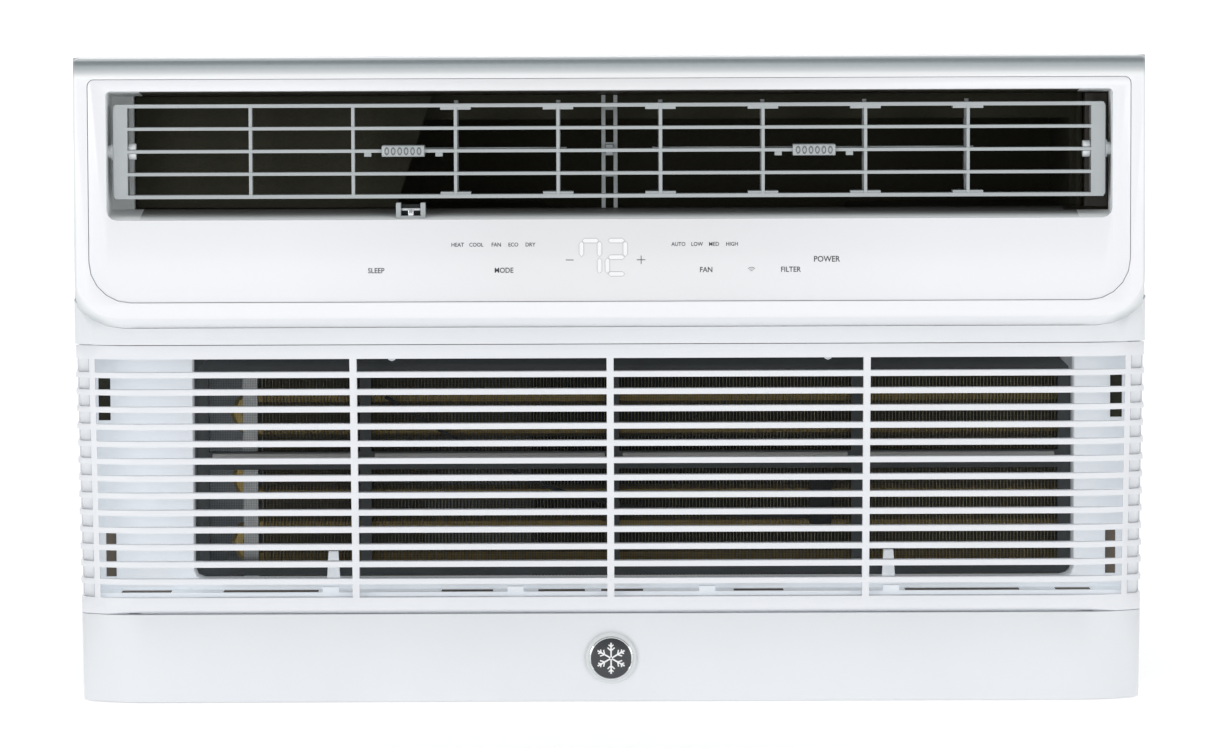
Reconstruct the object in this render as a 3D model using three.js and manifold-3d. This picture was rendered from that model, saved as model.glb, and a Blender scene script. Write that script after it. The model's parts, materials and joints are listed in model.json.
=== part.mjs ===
// A room air conditioner of the slide-in kind: a wide plastic front case on a steel chassis.
// Millimetres, +Z up, the front looks towards -Y, the origin is under the middle on the ground.
// Run it with the npm packages three and manifold-3d; the default export is the whole machine.

import * as THREE from "three";
import { mergeVertices } from "three/addons/utils/BufferGeometryUtils.js";
import Module from "manifold-3d";

const wasm = await Module();
wasm.setup();

// ---------------------------------------------------------------------------------------------
// Driving dimensions
// ---------------------------------------------------------------------------------------------

const SEAT = 0.3; // gap between pieces that rest on each other
const RUN = 0.5; // gap round pieces that turn or slide
const WALL = 2.5; // moulded plastic wall
const SHEET = 1.2; // folded steel sheet

// The front case: 26 in wide and 15 5/8 in high.
const face = { width: 660.4, height: 396.9, taper: 3.6, depth: 78 };
const machine = { depth: 546 };
const plan = { sweep: 74, corner: 8, angle: 0.54 }; // the front's curve near each end
const bezel = { side: 3.5, proud: 14, bottom: 231.6, rise: 6.4, roll: 12, skirt: 38, wall: 4.5, lip: 3.4 };
const bevel = { frontRadius: 28, backRadius: 38, spread: 9.8 };
const fascia = { side: 8.9, top: 13, bottom: 16.4, thick: 3, topRadius: 4, bottomRadius: 25 };
const outlet = { side: 11.1, top: 7.1, height: 78.6, topRadius: 2.5, bottomRadius: 6 };
const duct = { depth: 46, step: 34, stepIn: 13.7, rise: 5, drop: 3.6 };
const louver = {
  gapX: 3.6, gapTop: 8.2, height: 57.7, depth: 14, blade: 1.9, outer: 2.2, end: 8.7, blades: 5,
};
const ribs = { count: 8, pitch: 62.65, thick: 1.9 };
const vane = { behind: 12, length: 20, above: 20, below: 22, thick: 1.5, arm: 12, pin: 1.4 };
const pivotPlate = { width: 18.5, thick: 1.5 };
const board = { half: 150, thick: 1.6, margin: 7.7, digits: 24 };
const tab = { width: 26, height: 6.8, proud: 3, stopAt: 21.8, stopWidth: 4.3 };
const leftTabX = -126;
const rightTabX = 125.1;

// The intake grille below the controls.
const panel = { top: 54.3, gap: 0.5 };
const grille = { band: 8.4, foot: 10, bar: 3.4, pitch: 10.63, depth: 8, skin: 2, wrap: 34 };
const mullion = { at: 158, width: 4.3 };
const post = { in: 9.3, width: 3.7 };
const hinge = { back: 4.5, up: 4.9, pin: 1.3, knuckle: 2.6, at: 296, width: 7, arm: 2.4 };

// The filter and the plate that holds it.
const plate = { half: 320.5, back: 34, thick: 2.5, gap: 0.9 };
const filter = { left: 63.2, right: 34.7, bottom: 19.3, height: 136, deep: 8, lift: 8, rail: 8 };

// The chassis.
const chassis = { inset: 23.2, bottom: 8, drop: 24.9, rim: 22, lap: 7 };
const evaporator = { left: 89.5, right: 29, depth: 42, behind: 5, bottom: 48.7, below: 8 };
const coil = { pitch: 20, widePitch: 28, tube: 4.8, hole: 6, sides: 6, stub: 6 };
const condenser = { margin: 15, depth: 40, toGuard: 38, bottom: 18, top: 12 };
const fanAxis = { x: 55, headroom: 82, slinger: 10 };
const wheel = { depth: 85, blades: 20, inward: 50 };
const scroll = { wall: 7, clear: 8 };
const motor = { radius: 63.5, length: 90, shaft: 5 };
const compressor = { radius: 55, height: 220, sideRoom: 37, foot: 15, grommetOut: 5 };

// Values worked out from the ones above.
const halfWidth = face.width / 2;
const faceFront = -machine.depth / 2;
const machineBack = machine.depth / 2;
const caseBack = faceFront + face.depth;
const wallFace = caseBack + 0.2; // a raised rim round the chassis, which meets the wall
const panelFront = faceFront + bezel.proud;
const bezelHalf = halfWidth - bezel.side;
const fasciaHalf = bezelHalf - fascia.side;
const fasciaTop = face.height - fascia.top;
const fasciaBottom = bezel.bottom + fascia.bottom;
const fasciaFront = faceFront + 1;
const fasciaBack = fasciaFront + fascia.thick;
const outletHalf = fasciaHalf - outlet.side;
const outletTop = fasciaTop - outlet.top;
const outletBottom = outletTop - outlet.height;
const louverHalf = outletHalf - louver.gapX;
const louverZ = outletTop - louver.gapTop - louver.height / 2;
const louverY = fasciaFront + 15;
const bladePitch = (louver.height - louver.outer) / (louver.blades - 1);
const vaneY = louverY + vane.behind;
const grilleTop = bezel.bottom - 11;
const grilleBottom = panel.top + panel.gap;
const openTop = grilleTop - grille.band;
const openBottom = grilleBottom + grille.foot;
const grilleBack = panelFront + grille.depth;
const plateFront = panelFront + plate.back - plate.thick;
const plateBack = panelFront + plate.back;
const plateBottom = panel.top + plate.gap;
const chassisHalf = halfWidth - chassis.inset;
const chassisTop = face.height - chassis.drop;
const insideHalf = chassisHalf - SHEET;
const insideTop = chassisTop - SHEET;
const chassisFront = caseBack + SEAT;
const panFloor = chassis.bottom + SHEET;

// ---------------------------------------------------------------------------------------------
// Shapes
// ---------------------------------------------------------------------------------------------

const looks = {
  shell: { color: 0xeff1f5, roughness: 0.35, metalness: 0 },
  gloss: { color: 0xf2f4f8, roughness: 0.2, metalness: 0 },
  silver: { color: 0xbec4c6, roughness: 0.4, metalness: 0.2 },
  white: { color: 0xd7dee4, roughness: 0.5, metalness: 0 },
  dark: { color: 0x2d3234, roughness: 0.6, metalness: 0 },
  foam: { color: 0x2e2a22, roughness: 0.95, metalness: 0 },
  steel: { color: 0xb9bdbf, roughness: 0.45, metalness: 0.7 },
  copper: { color: 0xb87340, roughness: 0.35, metalness: 0.9 },
  fins: { color: 0x9a958a, roughness: 0.5, metalness: 0.8 },
  black: { color: 0x1c1d1f, roughness: 0.5, metalness: 0.1 },
  board: { color: 0x2f6b3c, roughness: 0.6, metalness: 0 },
};

// A closed geometry as a solid that can be cut and joined.
function solid(shape) {
  if (!shape.isBufferGeometry) return shape;
  const bare = shape.index ? shape.toNonIndexed() : shape.clone();
  bare.deleteAttribute("normal");
  bare.deleteAttribute("uv");
  const merged = mergeVertices(bare, 1e-4);
  return new wasm.Manifold(
    new wasm.Mesh({
      numProp: 3,
      vertProperties: merged.attributes.position.array,
      triVerts: new Uint32Array(merged.index.array),
    }),
  );
}

const join = (...shapes) => shapes.flat().map(solid).reduce((a, b) => a.add(b));
const cut = (whole, ...shapes) => shapes.flat().map(solid).reduce((a, b) => a.subtract(b), solid(whole));
const common = (...shapes) => shapes.flat().map(solid).reduce((a, b) => a.intersect(b));

function geometryOf(shape) {
  if (shape.isBufferGeometry) return shape;
  const mesh = shape.getMesh();
  const geometry = new THREE.BufferGeometry();
  geometry.setAttribute("position", new THREE.BufferAttribute(mesh.vertProperties, 3));
  geometry.setIndex(new THREE.BufferAttribute(mesh.triVerts, 1));
  return geometry;
}

// The named mesh of one piece.
function piece(name, shape, look) {
  const geometry = geometryOf(shape);
  geometry.computeVertexNormals();
  const mesh = new THREE.Mesh(geometry, new THREE.MeshStandardMaterial(looks[look]));
  mesh.name = name;
  return mesh;
}

function box(left, right, front, back, bottom, top) {
  const geometry = new THREE.BoxGeometry(right - left, back - front, top - bottom);
  return geometry.translate((left + right) / 2, (front + back) / 2, (bottom + top) / 2);
}

const shapeOf = (points) => new THREE.Shape(points.map(([u, v]) => new THREE.Vector2(u, v)));

function extrude(points, holes, depth) {
  const whole = new THREE.ExtrudeGeometry(shapeOf(points), { depth, bevelEnabled: false });
  if (!holes.length) return whole;
  const plugs = holes.map((hole) => extrude(hole, [], depth + 2).translate(0, 0, -1));
  return geometryOf(cut(whole, plugs));
}

// An outline in X and Y, from one height to another.
function level(points, bottom, top, holes = []) {
  return extrude(points, holes, top - bottom).translate(0, 0, bottom);
}

// An outline in X and Z, from front to back.
function upright(points, front, back, holes = []) {
  return extrude(points, holes, back - front).rotateX(Math.PI / 2).translate(0, back, 0);
}

// An outline in Y and Z, from left to right.
function along(points, left, right, holes = []) {
  const turn = new THREE.Matrix4().makeBasis(
    new THREE.Vector3(0, 1, 0),
    new THREE.Vector3(0, 0, 1),
    new THREE.Vector3(1, 0, 0),
  );
  return extrude(points, holes, right - left).applyMatrix4(turn).translate(left, 0, 0);
}

// Points on an arc, both ends included, angles in degrees.
function arc(u, v, radius, from, to, steps) {
  return Array.from({ length: steps + 1 }, (_, i) => {
    const a = THREE.MathUtils.degToRad(from + ((to - from) * i) / steps);
    return [u + radius * Math.cos(a), v + radius * Math.sin(a)];
  });
}

const circle = (u, v, radius, sides) => arc(u, v, radius, 0, 360, sides).slice(0, sides);

// A rectangle whose top corners and bottom corners have radii of their own.
function rounded(left, right, bottom, top, topRadius, bottomRadius, steps = 4) {
  const t = topRadius;
  const b = bottomRadius;
  return [
    ...arc(right - b, bottom + b, b, -90, 0, steps),
    ...arc(right - t, top - t, t, 0, 90, steps),
    ...arc(left + t, top - t, t, 90, 180, steps),
    ...arc(left + b, bottom + b, b, 180, 270, steps),
  ];
}

const rectangle = (left, right, bottom, top) => [
  [left, bottom],
  [right, bottom],
  [right, top],
  [left, top],
];

const rodX = (y, z, radius, left, right, sides = 12) => along(circle(y, z, radius, sides), left, right);
const rodY = (x, z, radius, front, back, sides = 12) => upright(circle(x, z, radius, sides), front, back);
const rodZ = (x, y, radius, bottom, top, sides = 12) => level(circle(x, y, radius, sides), bottom, top);

// Two outlines with the same number of points in X and Z, joined by flat sides from front to back.
function loft(frontPoints, front, backPoints, back) {
  const count = frontPoints.length;
  const at = [
    ...frontPoints.map(([x, z]) => [x, front, z]),
    ...backPoints.map(([x, z]) => [x, back, z]),
  ];
  const faces = [];
  for (let i = 0; i < count; i++) {
    const j = (i + 1) % count;
    faces.push([j, i, count + i], [j, count + i, count + j]);
  }
  const caps = THREE.ShapeUtils.triangulateShape(shapeOf(frontPoints).getPoints(), []);
  for (const [a, b, c] of caps) faces.push([a, b, c], [count + c, count + b, count + a]);
  const geometry = new THREE.BufferGeometry();
  const flat = faces.flatMap(([a, b, c]) => [...at[a], ...at[c], ...at[b]]);
  geometry.setAttribute("position", new THREE.Float32BufferAttribute(flat, 3));
  const volume = solid(geometry);
  if (volume.volume() > 0) return volume;
  geometry.setAttribute(
    "position",
    new THREE.Float32BufferAttribute(faces.flatMap(([a, b, c]) => [...at[a], ...at[b], ...at[c]]), 3),
  );
  return solid(geometry);
}

// A path through stations, so that a sweep has one section at each of them.
class StationPath extends THREE.Curve {
  constructor(stations) {
    super();
    this.stations = stations.map((p) => new THREE.Vector3(...p));
  }
  getPoint(t) {
    const at = t * (this.stations.length - 1);
    const i = Math.min(Math.floor(at + 1e-6), this.stations.length - 2);
    return this.stations[i].clone().lerp(this.stations[i + 1], at - i);
  }
  getPointAt(u) {
    return this.getPoint(u);
  }
  getTangentAt(u) {
    const last = this.stations.length - 1;
    const i = Math.round(u * last);
    const before = this.stations[Math.max(i - 1, 0)];
    const after = this.stations[Math.min(i + 1, last)];
    const here = this.stations[i];
    const back = here.clone().sub(before).normalize();
    const ahead = after.clone().sub(here).normalize();
    return back.add(ahead).normalize();
  }
}

function tube(stations, radius, sides = 8) {
  const path = new StationPath(stations);
  const ring = shapeOf(circle(0, 0, radius, sides));
  return new THREE.ExtrudeGeometry(ring, { steps: stations.length - 1, extrudePath: path });
}

// A run of pipe with its corners rounded, through points given in order.
function pipe(points, bend, radius, sides = 8) {
  const stations = [points[0]];
  for (let i = 1; i < points.length - 1; i++) {
    const here = new THREE.Vector3(...points[i]);
    const back = new THREE.Vector3(...points[i - 1]).sub(here).normalize();
    const ahead = new THREE.Vector3(...points[i + 1]).sub(here).normalize();
    const curve = new THREE.QuadraticBezierCurve3(
      here.clone().addScaledVector(back, bend),
      here,
      here.clone().addScaledVector(ahead, bend),
    );
    stations.push(...curve.getPoints(4).map((p) => p.toArray()));
  }
  stations.push(points[points.length - 1]);
  return tube(stations, radius, sides);
}

// A profile of radius and height turned about a vertical line.
function turned(profile, x, y, sides = 20) {
  const lathe = new THREE.LatheGeometry(profile.map(([r, z]) => new THREE.Vector2(r, z)), sides);
  return lathe.rotateX(Math.PI / 2).translate(x, y, 0);
}

// A profile of radius and Y turned about a line along Y.
function turnedY(profile, x, z, sides = 24) {
  const lathe = new THREE.LatheGeometry(profile.map(([r, y]) => new THREE.Vector2(r, y)), sides);
  return lathe.translate(x, 0, z);
}

// The lower front narrows towards the ground, so x shrinks a little below the bezel.
function narrowed(shape) {
  const geometry = geometryOf(shape);
  const at = geometry.attributes.position;
  for (let i = 0; i < at.count; i++) {
    const down = Math.max(0, bezel.bottom - at.getZ(i)) / bezel.bottom;
    at.setX(i, at.getX(i) * (1 - (face.taper * down) / halfWidth));
  }
  return geometry;
}

// The plan outline of the lower front, a distance inside its skin, closed along its back.
function planOutline(inset, back) {
  const { sweep, corner, angle } = plan;
  const degrees = THREE.MathUtils.radToDeg(angle);
  const bigX = halfWidth - corner - (sweep - corner) * Math.sin(angle);
  const bigY = panelFront + sweep;
  const smallX = halfWidth - corner;
  const smallY = bigY - (sweep - corner) * Math.cos(angle);
  const right = [
    ...arc(bigX, bigY, sweep - inset, -90, degrees - 90, 3),
    ...arc(smallX, smallY, corner - inset, degrees - 90, 0, 2).slice(1),
    [halfWidth - inset, back],
  ];
  const left = right.map(([x, y]) => [-x, y]).reverse();
  return [...right, ...left];
}

// ---------------------------------------------------------------------------------------------
// The front case
// ---------------------------------------------------------------------------------------------

// The bezel's outer edge where it meets the case, and how far its seat stands off it.
function bezelSeat(gap) {
  const spread = bevel.spread + gap;
  return rounded(-bezelHalf - spread, bezelHalf + spread, bezel.bottom - gap, face.height + 40,
    4, bevel.backRadius + gap, 6);
}

function makeBezel() {
  const front = rounded(-bezelHalf, bezelHalf, bezel.bottom + bezel.rise, face.height + 40,
    4, bevel.frontRadius, 6);
  const skirtBack = faceFront + bezel.skirt;
  const bevelled = loft(front, faceFront, bezelSeat(0), panelFront);
  const skirt = upright(bezelSeat(0), panelFront - 0.01, skirtBack);
  const roll = bezel.roll;
  const profile = [
    [skirtBack, 0],
    [skirtBack, face.height],
    ...arc(faceFront + roll, face.height - roll, roll, 90, 180, 6),
    [faceFront, 0],
  ];
  const ends = rounded(-bezelHalf, bezelHalf, 0, face.height, 1.5, 1.5, 2);
  const body = common(
    join(bevelled, skirt),
    along(profile, -bezelHalf, bezelHalf),
    upright(ends, faceFront, skirtBack),
  );
  const inner = rounded(-bezelHalf + WALL, bezelHalf - WALL, bezel.bottom + bezel.rise + WALL,
    face.height - WALL, 6, bevel.frontRadius - 2, 4);
  const hollow = upright(inner, faceFront + bezel.wall + bezel.lip, skirtBack + 1);
  const window = upright(fasciaOutline(-SEAT), faceFront - 1, fasciaBack + SEAT);
  const opening = upright(fasciaOutline(bezel.lip), faceFront, skirtBack);
  return cut(body, hollow, window, opening);
}

function fasciaOutline(inset) {
  return rounded(-fasciaHalf + inset, fasciaHalf - inset, fasciaBottom + inset, fasciaTop - inset,
    Math.max(fascia.topRadius - inset, 1), fascia.bottomRadius - inset, 5);
}

function outletOutline(grow) {
  return rounded(-outletHalf - grow, outletHalf + grow, outletBottom - grow, outletTop + grow,
    outlet.topRadius, outlet.bottomRadius, 3);
}

const makeFascia = () => upright(fasciaOutline(0), fasciaFront, fasciaBack, [outletOutline(0)]);

// One moulding: upper walls, the fixed band under the bezel, the cheeks and the lower panel.
function makeFrontCase() {
  const bottom = 0.5;
  const upperWall = cut(
    level(planOutline(0, caseBack), grilleTop + panel.gap, face.height),
    level(planOutline(WALL, caseBack - WALL), grilleTop + panel.gap + WALL, face.height - WALL),
    upright(bezelSeat(SEAT), faceFront - 1, faceFront + bezel.skirt + SEAT),
  );
  const cheekStart = halfWidth - post.in + RUN;
  const cheeks = [-1, 1].map((side) => {
    const ring = cut(
      level(planOutline(grille.skin + RUN, caseBack), hingeZ + 4, grilleTop + 1),
      level(planOutline(grille.skin + RUN + WALL, caseBack + 1), hingeZ + 3, grilleTop + 2),
    );
    const near = side > 0 ? cheekStart : -halfWidth;
    const far = side > 0 ? halfWidth : -cheekStart;
    return common(ring, box(near, far, panelFront, caseBack, 0, face.height));
  });
  const lower = cut(
    level(planOutline(0, caseBack), bottom, panel.top),
    level(planOutline(WALL, caseBack - WALL), bottom - 1, panel.top - WALL),
  );
  const edge = rounded(-halfWidth + 1, halfWidth - 1, bottom, face.height - 1, 3, 3, 2);
  const flange = upright(edge, caseBack - WALL, caseBack);
  const rimIn = chassisHalf + face.taper + 1.5;
  const rim = cut(
    upright(edge, caseBack - 0.1, wallFace),
    box(-rimIn, rimIn, caseBack - 1, wallFace + 1, chassis.bottom - 1.5, chassisTop + 1.5),
  );
  const shelfHole = box(-plate.half - 1, plate.half + 1, plateFront - 2, caseBack - WALL,
    panel.top - 10, grilleTop + 10);
  const throat = box(-chassisHalf + chassis.lap, chassisHalf - chassis.lap, caseBack - 12, caseBack + 1,
    chassis.bottom + chassis.lap, chassisTop - chassis.lap);
  const glandHole = rodX(caseBack - 16, gland.z, gland.radius + SEAT, halfWidth - 12, halfWidth + 5);
  const body = cut(join(upperWall, cheeks, lower, flange, rim), shelfHole, throat, glandHole);
  return narrowed(join(body, hingeLugs()));
}

const gland = { radius: 7, bore: 4, z: 28, length: 8 };

function makeGland() {
  const y = caseBack - 16;
  const right = halfWidth - face.taper - 0.4;
  const body = join(
    rodX(y, gland.z, gland.radius, right - gland.length + 2, right),
    rodX(y, gland.z, gland.radius + 3, right - gland.length - 1, right - WALL - 2),
  );
  return cut(body, rodX(y, gland.z, gland.bore, right - 20, right + 5));
}

function makeBadge() {
  const middle = panel.top / 2;
  return turnedY(
    [[0, panelFront - 2.2], [12.6, panelFront - 2.2], [13.4, panelFront - 3], [15, panelFront - 3],
      [16, panelFront - 2], [16, panelFront - SEAT], [0, panelFront - SEAT]],
    0, middle, 32);
}

// The circuit board behind the controls, with the raised block of its two digits.
function makeDisplayBoard() {
  const front = fasciaBack + SEAT + 0.4;
  const bottom = fasciaBottom + board.margin;
  const top = outletBottom - board.margin;
  return join(
    box(-board.half, board.half, front + 4, front + 4 + board.thick, bottom, top),
    box(-board.digits, board.digits, front, front + 4.5, bottom + 5, top - 5),
  );
}

// ---------------------------------------------------------------------------------------------
// The air outlet
// ---------------------------------------------------------------------------------------------

function makeDuct() {
  const front = fasciaBack + 0.4;
  const step = front + duct.step;
  const back = front + duct.depth;
  const outer = rounded(-outletHalf - WALL, outletHalf + WALL, outletBottom - WALL, outletTop + WALL,
    3, 4, 3);
  const mouth = rectangle(-outletHalf, outletHalf, outletBottom, outletTop);
  const throat = rectangle(-outletHalf, outletHalf, outletBottom + duct.rise, outletTop - duct.drop);
  const inner = rectangle(-outletHalf + duct.stepIn, outletHalf - duct.stepIn,
    outletBottom + duct.rise, outletTop - duct.drop);
  const pinHole = rodX(louverY, louverZ, pivotPin.radius + RUN, -outletHalf - 5, outletHalf + 5);
  return cut(
    upright(outer, front, back),
    pinHole,
    loft(mouth, front - 0.01, throat, step),
    upright(inner, step - 1, back + 1),
  );
}

// The foam panel that closes the left third of the outlet.
function makeBaffle() {
  const left = -outletHalf + duct.stepIn + SEAT;
  const front = vaneY + vane.length - vane.behind + 9.5;
  const bottom = outletBottom + duct.rise + SEAT;
  const top = outletTop - duct.drop - SEAT;
  const outline = [[left, bottom], [leftTabX - 6, bottom], [leftTabX + 17, top], [left, top]];
  return upright(outline, front, front + 5);
}

// Two upright bars behind the blades, with an arm that steadies the middle blade.
function makeBracket() {
  const front = louverY + 21.5;
  const back = front + 4;
  const bottom = outletBottom + duct.rise + SEAT;
  const top = outletTop - duct.drop - SEAT;
  const bars = [-3.6, 3.8].map((x) => box(x - 1.2, x + 1.2, front, back, bottom, top));
  const rungs = [-16, 25].map((z) =>
    box(-3.6, 3.8, front + 0.5, back - 0.5, louverZ + z - 1, louverZ + z + 1));
  const arm = box(-2, 2, louverY + louver.depth / 2 + 0.6, back, louverZ - 3, louverZ + 3);
  const hub = box(-3.6, 3.8, front + 0.5, back - 0.5, louverZ - 4, louverZ + 4);
  return join(bars, rungs, arm, hub);
}

const ribX = (i) => (i - (ribs.count - 1) / 2) * ribs.pitch;
const leftVanes = [2, 3];
const rightVanes = [4, 5, 6, 7];

// The louver frame about its own pivot line.
function makeLouverFrame() {
  const half = louver.height / 2;
  const front = -louver.depth / 2;
  const back = louver.depth / 2;
  const parts = [];
  for (let i = 0; i < louver.blades; i++) {
    const outer = i === 0 || i === louver.blades - 1;
    const thick = outer ? louver.outer : louver.blade;
    const z = -half + louver.outer / 2 + i * bladePitch;
    parts.push(box(-louverHalf + 1, louverHalf - 1, front, back, z - thick / 2, z + thick / 2));
  }
  for (let i = 0; i < ribs.count; i++) {
    const x = ribX(i);
    parts.push(box(x - ribs.thick / 2, x + ribs.thick / 2, front + 0.4, back - 3, -half + 1, half - 1));
  }
  const ends = rounded(-louverHalf, louverHalf, -half, half, 2.5, 2.5, 3);
  const inside = louverHalf - louver.end;
  const ring = upright(ends, front, back, [rectangle(-inside, inside, -half + 1, half - 1)]);
  const trough = [-1, 1].map((side) => {
    const near = side * (louverHalf - 1.8);
    const far = side * (louverHalf - louver.end + 1.6);
    return box(Math.min(near, far), Math.max(near, far), front + 1.8, back + 1, -half + 1.8, half - 1.8);
  });
  const holder = [...leftVanes, ...rightVanes].flatMap((i) =>
    [-1, 1].map((side) => pivotLedge(ribX(i), side)));
  const stops = [leftTabX, rightTabX].flatMap((x) => [-1, 1].map((side) => {
    const at = x + side * tab.stopAt;
    return box(at - tab.stopWidth / 2, at + tab.stopWidth / 2, -4, 5, -louver.blade / 2 - 2.5, 0);
  }));
  const pinHoles = [-1, 1].map((side) => {
    const near = side * (louverHalf - louver.end - 1);
    const far = side * (louverHalf + 1);
    return rodX(0, 0, pivotPin.radius + RUN, Math.min(near, far), Math.max(near, far), 12);
  });
  return cut(join(cut(ring, trough), parts, holder, stops), pinHoles);
}

// The ledge on a bar that one end of a vane's pin turns in; side is 1 at the top, -1 at the bottom.
function pivotLedge(x, side) {
  const bar = louver.height / 2 - louver.outer;
  const near = bar - pivotPlate.thick;
  const half = pivotPlate.width / 2;
  const outline = [
    [x - half, -louver.depth / 2 + 1],
    [x + half, -louver.depth / 2 + 1],
    [x + half, vane.behind - 3],
    [x + 4, vane.behind + 3.5],
    [x - 4, vane.behind + 3.5],
    [x - half, vane.behind - 3],
  ];
  const hole = circle(x, vane.behind, vane.pin + RUN, 8);
  const bottom = side > 0 ? near : -bar - 0.2;
  const top = side > 0 ? bar + 0.2 : -near;
  return level(outline, bottom, top, [hole]);
}

const pivotPin = { radius: 4, flange: 5.5, head: 5 };

// The white pin that carries one end of the louver frame and turns in the duct's wall.
function makePivotPin(side) {
  const rod = (radius, from, to) => {
    const ends = [side * from, side * to];
    return rodX(0, 0, radius, Math.min(...ends), Math.max(...ends));
  };
  const inner = louverHalf - louver.end - 0.4;
  const pin = join(
    rod(pivotPin.radius, inner - 4.4, outletHalf + WALL - 0.8),
    rod(pivotPin.flange, louverHalf + SEAT, louverHalf + 1.5),
    rod(pivotPin.head, inner - 4.4, inner),
  );
  const half = louver.blade / 2 + SEAT;
  const ends = [side * (inner - 6), side * (inner + 0.4)];
  return cut(pin, box(Math.min(...ends), Math.max(...ends), -8, 8, -half, half));
}

// One upright vane about its pin, with a notch for the tie bar and a short pin across the notch.
function makeVane() {
  const t = vane.thick / 2;
  const far = vane.length;
  const notch = vane.arm - 6;
  const outline = [
    [-1.2, -vane.below],
    [far, -vane.below + 3],
    [far, -4.2],
    [notch, -4.2],
    [notch, 4.2],
    [far, 4.2],
    [far, vane.above - 3],
    [-1.2, vane.above],
  ];
  const bar = louver.height / 2;
  return join(
    along(outline, -t, t),
    rodZ(0, 0, vane.pin, -bar + 1, bar + 1.6, 8),
    rodZ(0, vane.arm, 0.8, -4.6, 4.6, 6),
  );
}

// The bar that joins a group of vanes, seen from the louver's pivot line, with a slot for each vane's pin.
function makeTieBar(tabX, vaneIndexes) {
  const xs = vaneIndexes.map(ribX);
  const left = Math.min(tabX - 4, xs[0] - 5);
  const right = Math.max(tabX + 4, xs[xs.length - 1] + 5);
  const y = vane.behind + vane.arm;
  const slots = xs.map((x) => rectangle(x - 1.5, x + 1.5, y - 2.4, y + 1.4));
  const bar = level(rectangle(left, right, y - 3.6, y + 2.9), -1.2, 1.2, slots);
  const tongue = box(tabX - 3, tabX + 3, louver.depth / 2 + 2.6, y - 3, -1.2, 1.2);
  return join(bar, tongue);
}

// The knurled sleeve on the middle blade.
function makeThumbTab(tabX) {
  const front = -louver.depth / 2 - tab.proud;
  const back = louver.depth / 2 + 2.2;
  const half = tab.height / 2;
  const profile = [
    [front + 1, -half], [back, -half], [back, half], [front + 1, half], [front, half - 1], [front, -half + 1],
  ];
  const boreY = louver.depth / 2 + RUN;
  const boreZ = louver.blade / 2 + RUN;
  const bore = rectangle(-boreY, boreY, -boreZ, boreZ);
  return along(profile, tabX - tab.width / 2, tabX + tab.width / 2, [bore]);
}

// ---------------------------------------------------------------------------------------------
// The intake grille and the filter
// ---------------------------------------------------------------------------------------------

const hingeY = panelFront + hinge.back;
const hingeZ = grilleBottom + hinge.up;
const swingBack = hingeY + Math.hypot(grilleBack - hingeY, hinge.up); // as far as the grille's foot swings
const lugBack = swingBack + 0.2;

// Knuckles on arms from the lower panel, behind the grille's skin. The grille's pins turn in them.
function hingeLugs() {
  return [-1, 1].map((side) => {
    const x = side * hinge.at;
    const left = x - hinge.width / 2;
    const right = x + hinge.width / 2;
    const foot = box(left, right, lugBack - hinge.arm, lugBack, panel.top - 1, hingeZ + hinge.knuckle);
    const arm = box(left, right, hingeY, lugBack, hingeZ - 1.5, hingeZ + hinge.knuckle);
    const eye = rodX(hingeY, hingeZ, hinge.knuckle, left, right, 12);
    return cut(join(foot, arm, eye), rodX(hingeY, hingeZ, hinge.pin + RUN, left - 1, right + 1, 8));
  });
}

function makeGrille() {
  const shell = cut(
    level(planOutline(0, panelFront + grille.wrap), grilleBottom, grilleTop),
    level(planOutline(grille.skin, panelFront + grille.wrap + 1), grilleBottom - 1, grilleTop + 1),
  );
  const inboard = halfWidth - post.in - post.width;
  const slab = common(
    level(planOutline(0, panelFront + grille.wrap), grilleBottom, grilleTop),
    box(-inboard - post.width, inboard + post.width, panelFront - 1, grilleBack, 0, face.height),
  );
  const spans = [
    [-halfWidth - 1, -inboard - post.width],
    [-inboard, -mullion.at - mullion.width / 2],
    [-mullion.at + mullion.width / 2, -mullion.width / 2],
    [mullion.width / 2, mullion.at - mullion.width / 2],
    [mullion.at + mullion.width / 2, inboard],
    [inboard + post.width, halfWidth + 1],
  ];
  const gaps = [];
  const bars = Math.floor((openTop - openBottom) / grille.pitch);
  const firstBar = (openTop + openBottom - (bars - 1) * grille.pitch - grille.bar) / 2;
  for (let i = 0; i <= bars; i++) {
    const bottom = i === 0 ? openBottom : firstBar + (i - 1) * grille.pitch + grille.bar;
    const top = i === bars ? openTop : firstBar + i * grille.pitch;
    for (const [left, right] of spans)
      gaps.push(box(left, right, panelFront - 1, panelFront + grille.wrap - 4, bottom, top));
  }
  const swingRoom = [
    box(-halfWidth - 1, halfWidth + 1, panelFront + 14, caseBack, openTop - 1, grilleTop + 1),
    cut(box(-halfWidth - 1, halfWidth + 1, panelFront - 1, hingeY, grilleBottom - 1, hingeZ),
      rodX(hingeY, hingeZ, hinge.back, -halfWidth - 2, halfWidth + 2, 20)),
  ];
  const notches = [-1, 1].map((side) => hingeNotch(side));
  const pins = [-1, 1].map((side) =>
    rodX(hingeY, hingeZ, hinge.pin, side * hinge.at - hinge.width, side * hinge.at + hinge.width, 8));
  return narrowed(join(cut(join(shell, slab), gaps, swingRoom, notches), pins));
}

// Room in the back of the grille's foot for a knuckle and its arm, through the whole swing.
function hingeNotch(side) {
  const left = side * hinge.at - hinge.width / 2 - RUN;
  const right = side * hinge.at + hinge.width / 2 + RUN;
  const round = hinge.knuckle + RUN;
  return join(
    rodX(hingeY, hingeZ, round, left, right, 16),
    box(left, right, hingeY - round, grilleBack + 1, hingeZ, hingeZ + round),
    box(left, right, hingeY - 0.9, grilleBack + 1, grilleBottom - 1, hingeZ + 0.1),
  );
}

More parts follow.
